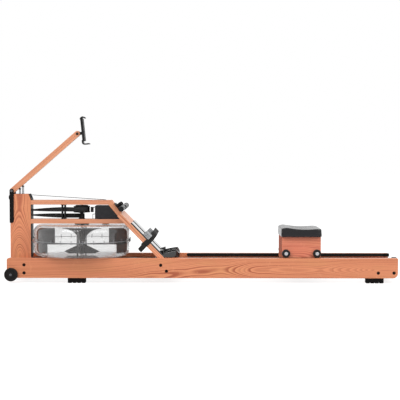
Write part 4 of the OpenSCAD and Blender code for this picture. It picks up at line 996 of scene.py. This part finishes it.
@dataclass
class FootStraps:
    """The two webbing straps over the foot rests, each with its loose end."""

    layout: Layout
    width: float = 30 * MM
    thick: float = 2 * MM
    place: float = 122 * MM
    length: float = 333 * MM
    inner: float = 20 * MM
    outer: float = 149.4 * MM
    leg: float = 13 * MM
    arch: float = 63 * MM
    under: float = 25.3 * MM
    corner: float = 2 * MM
    bow: float = 2.3
    sway: float = 8 * MM
    tail: float = 43 * MM
    tail_width: float = 27 * MM
    tail_swing: float = 3 * MM
    tip_share: float = 0.14
    arch_steps: int = 48
    leg_steps: int = 6
    under_steps: int = 16
    tail_steps: int = 14
    finish: Woven = Woven("strap webbing", (0.09, 0.08, 0.075), 1.5 * MM, stitch=(0.30, 0.30, 0.31))

    def dress(self) -> None:
        """Builds both straps in place of the plain ones."""
        material = self.finish.make()
        for side, name in ((-1, "left"), (1, "right")):
            mesh = bmesh.new()
            loop = self._stations(side, self._loop(), closed=True)
            lofted(mesh, loop, lambda _: flattened(self.width, self.thick, 12), closed=True)
            lofted(mesh, self._stations(side, self._loose_end(), closed=False), self._tail_outline)
            piece = finished(mesh, f"foot_strap_webbing_{name}", material)
            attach(piece, "frame")
            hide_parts(f"foot_strap_{name}")

    def _stations(self, side: int, places: list[Point], closed: bool) -> list[Station]:
        """Turns places in the plank's frame into stations, with the strap's width up the slope.

        Args:
            side: -1 for the left strap, 1 for the right.
            places: Points as (across, out, up the slope).
            closed: Whether they form a loop.

        Returns:
            The stations.
        """
        top, slope, face = self.layout.plank()
        start = self.length - self.place
        points = [top - slope * (start - up) + face * out + ACROSS * side * y for y, out, up in places]
        return flat_stations(points, slope, closed)

    def _loop(self) -> list[Point]:
        """Draws the loop: an arch over the foot, two legs and the run under the plank.

        Returns:
            Its places in the plank's frame.
        """
        half = self.thick / 2
        middle, reach = (self.inner + self.outer) / 2, (self.outer - self.inner) / 2 - half
        height = self.arch - half - self.leg
        places = []
        for k in range(self.arch_steps + 1):
            angle = math.pi * k / self.arch_steps
            c, s = math.cos(angle), math.sin(angle)
            y = middle + reach * math.copysign(abs(c) ** (2 / self.bow), c)
            rise = abs(s) ** (2 / self.bow)
            places.append((y, self.leg + height * rise, self.sway * rise * rise))
        inner, outer = places[-1][0], places[0][0]
        low = -self.under - half
        foot = low + self.corner
        drop, run = (foot - self.leg) / self.leg_steps, (outer - inner) / self.under_steps
        places += [(inner, self.leg + drop * k, 0.0) for k in range(1, self.leg_steps + 1)]
        places += [(inner + run * k, low, 0.0) for k in range(1, self.under_steps)]
        places += [(outer, foot - drop * k, 0.0) for k in range(self.leg_steps)]
        return places

    def _loose_end(self) -> list[Point]:
        """Draws the strap's free end, which hangs a little away from the plank's edge.

        Returns:
            Its places in the plank's frame.
        """
        start = self.outer - self.thick / 2
        shares = [k / self.tail_steps for k in range(self.tail_steps + 1)]
        return [(start + self.tail_swing * math.sin(math.pi * u), -self.under - u * self.tail,
                 -self.tail_swing * u) for u in shares]

    def _tail_outline(self, share: float) -> Outline:
        """Returns the loose end's outline, which narrows to a rounded tip."""
        tip = max(0.0, share - 1 + self.tip_share) / self.tip_share
        return flattened(self.tail_width * (1 - 0.5 * tip * tip), self.thick * 0.9, 12)


def bell(x: float, middle: float, spread: float) -> float:
    """Returns a smooth swell that is 1 at its middle and fades over its spread."""
    return math.exp(-(((x - middle) / spread) ** 2))


@dataclass
class Cushion:
    """The moulded seat pad: a dip for the rower, a front swell, and sides that draw in.

    The side's levels are (size, share of the side's height), from the underside up past the seam. The
    top's levels are (size, drop below the top in mm), from its round rim inwards.
    """

    length: float = 222 * MM
    width: float = 300 * MM
    dip: float = 39.5 * MM
    rim: float = 9 * MM
    front: float = 11.5 * MM
    rear: float = 5 * MM
    hollow: float = 4 * MM
    squareness: float = 0.17
    waist: float = 0.003
    around: int = 128
    side_levels: tuple[tuple[float, float], ...] = (
        (0.968, 0.0), (0.984, 0.04), (0.995, 0.12), (0.999, 0.20), (0.994, 0.23), (0.999, 0.26),
        (1.0, 0.38), (0.996, 0.6), (0.989, 0.85),
    )
    top_levels: tuple[tuple[float, float], ...] = (
        (0.985, 6.5), (0.980, 3.9), (0.973, 2.2), (0.963, 1.1), (0.950, 0.4), (0.925, 0.1), (0.88, 0.0),
        (0.8, 0.0), (0.7, 0.0), (0.58, 0.0), (0.43, 0.0), (0.28, 0.0), (0.13, 0.0),
    )
    finish: Moulded = Moulded("seat skin", (0.10, 0.10, 0.11), Texture.LEATHER, 0.23, 0.03 * MM, 0.22, 0.12)

    def _top(self, x: float, y: float) -> float:
        """Finds the height of the pad's top.

        Args:
            x: The place along the pad, from its middle.
            y: The place across it.

        Returns:
            The height above the pad's underside.
        """
        front = self.front * bell(x, -0.36 * self.length, 0.17 * self.length)
        rear = self.rear * bell(x, 0.37 * self.length, 0.17 * self.length)
        hollow = bell(abs(y), 0.2 * self.width, 0.13 * self.width) * bell(x, 0, 0.28 * self.length)
        return self.dip + front + rear - self.hollow * hollow

    def _ring(self, size: float) -> list[tuple[float, float]]:
        """Draws the pad's outline, drawn in a little at the middle of each side.

        Args:
            size: The outline's size, where 1 is the whole pad.

        Returns:
            Its points, along and across the pad.
        """
        ring = []
        for k in range(self.around):
            angle = math.tau * k / self.around
            c, s = math.cos(angle), math.sin(angle)
            x = self.length / 2 * math.copysign(abs(c) ** self.squareness, c)
            y = self.width / 2 * math.copysign(abs(s) ** self.squareness, s)
            drawn = size * (1 - self.waist * math.cos(2 * angle) ** 2)
            ring.append((drawn * x, drawn * y))
        return ring

    def dress(self) -> None:
        """Builds the pad in place of the plain one."""
        low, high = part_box("seat_cushion")
        middle = (low.x + high.x) / 2
        levels = [[(x, y, share * (self.dip - self.rim)) for x, y in self._ring(size)]
                  for size, share in self.side_levels]
        levels += [[(x, y, self._top(x, y) - drop * MM) for x, y in self._ring(size)]
                   for size, drop in self.top_levels]
        mesh = bmesh.new()
        rings = [[mesh.verts.new((middle + x, y, low.z + z)) for x, y, z in level] for level in levels]
        for first, second in zip(rings, rings[1:]):
            for k in range(self.around):
                n = (k + 1) % self.around
                mesh.faces.new((first[k], first[n], second[n], second[k]))
        mesh.faces.new(rings[0])
        crown = mesh.verts.new((middle, 0, low.z + self._top(0, 0)))
        for k in range(self.around):
            mesh.faces.new((rings[-1][k], rings[-1][(k + 1) % self.around], crown))
        piece = finished(mesh, "seat_pad", self.finish.make())
        subdivided(piece, 1)
        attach(piece, "seat")
        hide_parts("seat_cushion")


# CAD nodes and their finishes


Groups = list[tuple[Finish, tuple[str, ...]]]


@dataclass
class Painter:
    """A group of pieces that keep their CAD shape and get a finish."""

    layout: Layout

    def finishes(self) -> Groups:
        """Returns each finish with the nodes that take it."""
        raise NotImplementedError

    def dress(self) -> None:
        """Gives every piece of the group its finish and reports it."""
        for finish, nodes in self.finishes():
            material = finish.make()
            for name in nodes:
                slots = frame["nodes"][name].data.materials
                slots.clear()
                slots.append(material)
            log.info("%s: %s", material.name, ", ".join(nodes))


@dataclass
class Woodwork(Painter):
    """The machine's oak boards, each with the grain along its length."""

    pale: Colour = (0.92, 0.645, 0.495)
    fawn: Colour = (0.75, 0.45, 0.33)
    diagonal_slope: float = -50.0

    def finishes(self) -> Groups:
        """Sorts the boards by how they are sawn.

        Returns:
            Each kind of board with the nodes that are cut from it.
        """
        _, slope, face = self.layout.plank()
        arm = self.layout.pin("holder_tilt") - self.layout.pin("arm_fold")
        angle = math.radians(self.diagonal_slope)
        diagonal = Vector((math.cos(angle), 0, math.sin(angle)))
        tones = {"light": self.pale, "dark": self.fawn}
        return [
            (Oak("oak rails", ALONG, ACROSS, (-0.03, 0.115), 0.004, True,
                 ((0.10, 0.34, 0.022), (0.60, 0.98, 0.035)), (-0.65, 0.15, 0.098)),
             ("rail_left", "rail_right")),
            (Oak("oak tower", UP, ACROSS, (0.975, -0.045), 0.01, True,
                 ((0.33, 0.13, 0.045), (0.40, 0.30, 0.01)), dark=(0.73, 0.41, 0.285)),
             ("tower_board_left", "tower_board_right")),
            (Oak("oak bars", ALONG, ACROSS, (-0.385, -0.02), 0.012, True, **tones),
             ("upper_bars", "lower_bars")),
            (Oak("oak diagonals", diagonal, ACROSS, (0.03, -0.03), 0.02, True, **tones), ("diagonals",)),
            (Oak("oak plank", slope, face, (0.0, 0.02), 0.06, **tones), ("foot_plank",)),
            (Oak("oak cross pieces", ACROSS, UP, (0.9, 0.02), 0.02),
             ("front_crossmember", "middle_crossmember", "rear_crossmember")),
            (Oak("oak arm", arm, ACROSS, (0.0, -0.05), 0.03, **tones), ("tablet_arm",)),
            (Oak("oak seat", ALONG, ACROSS, (0.13, 0.045), 0.05, True,
                 light=(0.90, 0.55, 0.43), dark=(0.74, 0.36, 0.265)),
             ("seat_panels",)),
        ]


@dataclass
class Fittings(Painter):
    """The metal, plastic, rubber and clear pieces."""

    black: Colour = (0.095, 0.095, 0.10)

    def _hub(self, joint: str) -> tuple[float, float]:
        """Returns the place of an axle seen from the side."""
        pin = self.layout.pin(joint)
        return pin.x, pin.z

    def finishes(self) -> Groups:
        """Sorts the fittings by what they are made of.

        Returns:
            Each finish with the nodes that take it.
        """
        _, slope, _ = self.layout.plank()
        return [
            (PowderCoat("black powder coat", (0.07, 0.06, 0.06), shine=0.1),
             ("arm_channel", "tower_rear_plate", "handle_rest")),
            (PowderCoat("handle tube paint", (0.09, 0.09, 0.095), 0.35), ("handle_bar",)),
            (PowderCoat("track black", (0.08, 0.075, 0.07), 0.5, 0.12), ("track_left", "track_right")),
            (PowderCoat("bolt black", (0.085, 0.05, 0.04), 0.45, 0.1), ("frame_bolts",)),
            (BareSteel("plated steel"), ("rotor_shaft", "tank_screws")),
            (BareSteel("blued steel", (0.30, 0.30, 0.31), 0.42), ("axle_pins",)),
            (SleevedSteel("prop steel and rubber"), ("arm_props",)),
            (Moulded("black moulded plastic", self.black),
             ("shaft_bearings", "belt_guide", "speed_sensor", "tank_fill_plug", "lock_knob")),
            (Moulded("holder plastic", (0.09, 0.09, 0.095), rough=0.46, shine=0.2),
             ("holder_back", "holder_jaw")),
            (Moulded("module plastic", (0.12, 0.12, 0.13), rough=0.44), ("sensor_module",)),
            (Moulded("pulley plastic", (0.06, 0.06, 0.065), Texture.SMOOTH, 0.4, shine=0.14),
             ("drive_drum", "recoil_drum", "top_pulley_wheel", "deflector_pulley",
              "recoil_pulley_wheel", "cord_pulley_wheel", "lead_roller_wheel")),
            (Moulded("paddle plastic", (0.29, 0.283, 0.283), Texture.SMOOTH, 0.45), ("paddle_rotor",)),
            (Moulded("buckle plastic", (0.74, 0.75, 0.76), rough=0.3, shine=0.4,
                     ribs=(slope, 8 * MM, 0.8 * MM)), ("strap_buckles",)),
            (Moulded("foot rest plastic", (0.10, 0.10, 0.105), Texture.SPARK, 0.1, 0.01 * MM, 0.3, 0.8,
                     (slope, 12 * MM, 0.02 * MM)), ("foot_rest_left", "foot_rest_right")),
            (Moulded("grip rubber", (0.08, 0.08, 0.085), Texture.SPARK, 0.26, 0.06 * MM, 0.2,
                     ribs=(ACROSS, 6 * MM, 0.4 * MM)), ("handle_grips",)),
            (Moulded("wheel tread", (0.085, 0.075, 0.07), Texture.SMOOTH, 0.5, shine=0.18),
             ("transport_wheel_left", "transport_wheel_right")),
            (HubbedWheel("front seat wheel", self._hub("front_wheels_spin")), ("seat_wheels_front",)),
            (HubbedWheel("rear seat wheel", self._hub("rear_wheels_spin")), ("seat_wheels_rear",)),
            (Moulded("rubber", (0.05, 0.04, 0.04), Texture.SPARK, 0.7, shine=0.08), ("rubber_feet",)),
            (Moulded("stop rubber", (0.10, 0.10, 0.09), Texture.SPARK, 0.9, 0.4 * MM, 0.02),
             ("track_stops",)),
            (Moulded("gasket rubber", (0.55, 0.56, 0.57), Texture.SMOOTH, 0.4), ("tank_gasket",)),
            (ClearShell("clear polycarbonate"), ("tank_lower_shell", "tank_upper_shell")),
        ]


# Studio


@dataclass
class Studio:
    """The pale floor, the white surround, the soft lamps and the camera."""

    camera_place: Point = (-0.0056, -6.125, 0.690)
    focal_pixels: float = 1120.7
    image_pixels: float = 400.0
    horizon_row: float = 153.65
    roll: float = 0.075
    sensor: float = 36.0
    clipping: tuple[float, float] = (0.1, 200.0)
    floor_size: float = 60.0
    floor_tone: tuple[float, float, float, float] = (0.36, 0.36, 0.36, 1.0)
    floor_glow: float = 0.80
    ambient: float = 0.72
    lamp_aim: Point = (0.0, 0.0, 0.3)
    lamps: tuple[tuple[str, Point, float, float], ...] = (
        ("key lamp", (-2.2, -3.2, 3.6), 3.2, 105.0),
        ("fill lamp", (2.6, -2.6, 2.4), 3.0, 62.0),
        ("back lamp", (0.4, 3.0, 3.2), 3.4, 50.0),
    )

    def build(self) -> None:
        """Makes the whole studio."""
        self._floor()
        self._surround()
        for name, place, size, power in self.lamps:
            self._lamp(name, place, size, power)
        self._camera()

    @staticmethod
    def _seen_white(bench: Bench) -> Wire:
        """Finds the rays that should meet the white surround.

        Args:
            bench: The bench of the floor's material or of the world.

        Returns:
            1 for such rays and 0 for the others.
        """
        path = bench.node("LightPath")
        seen = path["Is Camera Ray"].math("MAXIMUM", path["Is Glossy Ray"])
        return seen.math("MAXIMUM", path["Is Transmission Ray"])

    def _floor(self) -> None:
        """Lays a pale floor that is white where nothing shades it."""
        b = Bench(bpy.data.materials.new("floor white"))
        matt = b.node("BsdfDiffuse", None, {"Color": self.floor_tone})
        glow = b.node("Emission", None, {"Strength": self._seen_white(b) * self.floor_glow})
        both = b.node("AddShader", None, {0: matt[0], 1: glow[0]})
        mesh = bmesh.new()
        half = self.floor_size / 2
        corners = [mesh.verts.new((x * half, y * half, 0)) for x, y in ((-1, -1), (1, -1), (1, 1), (-1, 1))]
        mesh.faces.new(corners)
        floor = finished(mesh, "studio_floor", b.ended(both[0]), smooth=False)

    def _surround(self) -> None:
        """Sets the world: white to the eye, plain soft light on the object."""
        world = bpy.data.worlds.new("white surround")
        bpy.context.scene.world = world
        b = Bench(world)
        strength = self._seen_white(b) * (1.0 - self.ambient) + self.ambient
        light = b.node("Background", None, {"Color": (1.0, 1.0, 1.0, 1.0), "Strength": strength})
        b.node("OutputWorld", None, {"Surface": light[0]})

    def _lamp(self, name: str, place: Point, size: float, power: float) -> None:
        """Hangs one soft square lamp that looks at the middle of the machine.

        Args:
            name: The lamp's name.
            place: Where it hangs.
            size: The length of its side, in metres.
            power: Its power, in watts.
        """
        data = bpy.data.lights.new(name, "AREA")
        data.size, data.energy = size, power
        lamp = bpy.data.objects.new(name, data)
        bpy.context.scene.collection.objects.link(lamp)
        lamp.location = place
        aim = Vector(self.lamp_aim) - Vector(place)
        lamp.rotation_mode = "QUATERNION"
        lamp.rotation_quaternion = aim.to_track_quat("-Z", "Y")

    def _camera(self) -> None:
        """Sets the camera at the photograph's place, a little above the seat and far away."""
        data = bpy.data.cameras.new("photograph")
        data.sensor_fit = "HORIZONTAL"
        data.sensor_width = self.sensor
        data.lens = self.focal_pixels / self.image_pixels * self.sensor
        data.clip_start, data.clip_end = self.clipping
        camera = bpy.data.objects.new("photograph", data)
        bpy.context.scene.collection.objects.link(camera)
        camera.location = self.camera_place
        dip = math.atan((self.image_pixels / 2 - self.horizon_row) / self.focal_pixels)
        aim = Quaternion((1, 0, 0), math.pi / 2 - dip) @ Quaternion((0, 0, 1), math.radians(self.roll))
        camera.rotation_mode = "QUATERNION"
        camera.rotation_quaternion = aim
        bpy.context.scene.camera = camera


def main() -> None:
    """Dresses the machine piece by piece, then sets up the studio."""
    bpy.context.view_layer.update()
    layout = Layout()
    Studio().build()
    for part in (Woodwork(layout), Fittings(layout), Belts(layout), ShockCord(layout),
                 FootStraps(layout), Cushion()):
        part.dress()
        log.info("%s done", type(part).__name__)
    bpy.context.scene.view_settings.view_transform = "Standard"


if __name__ == "__main__":
    main()
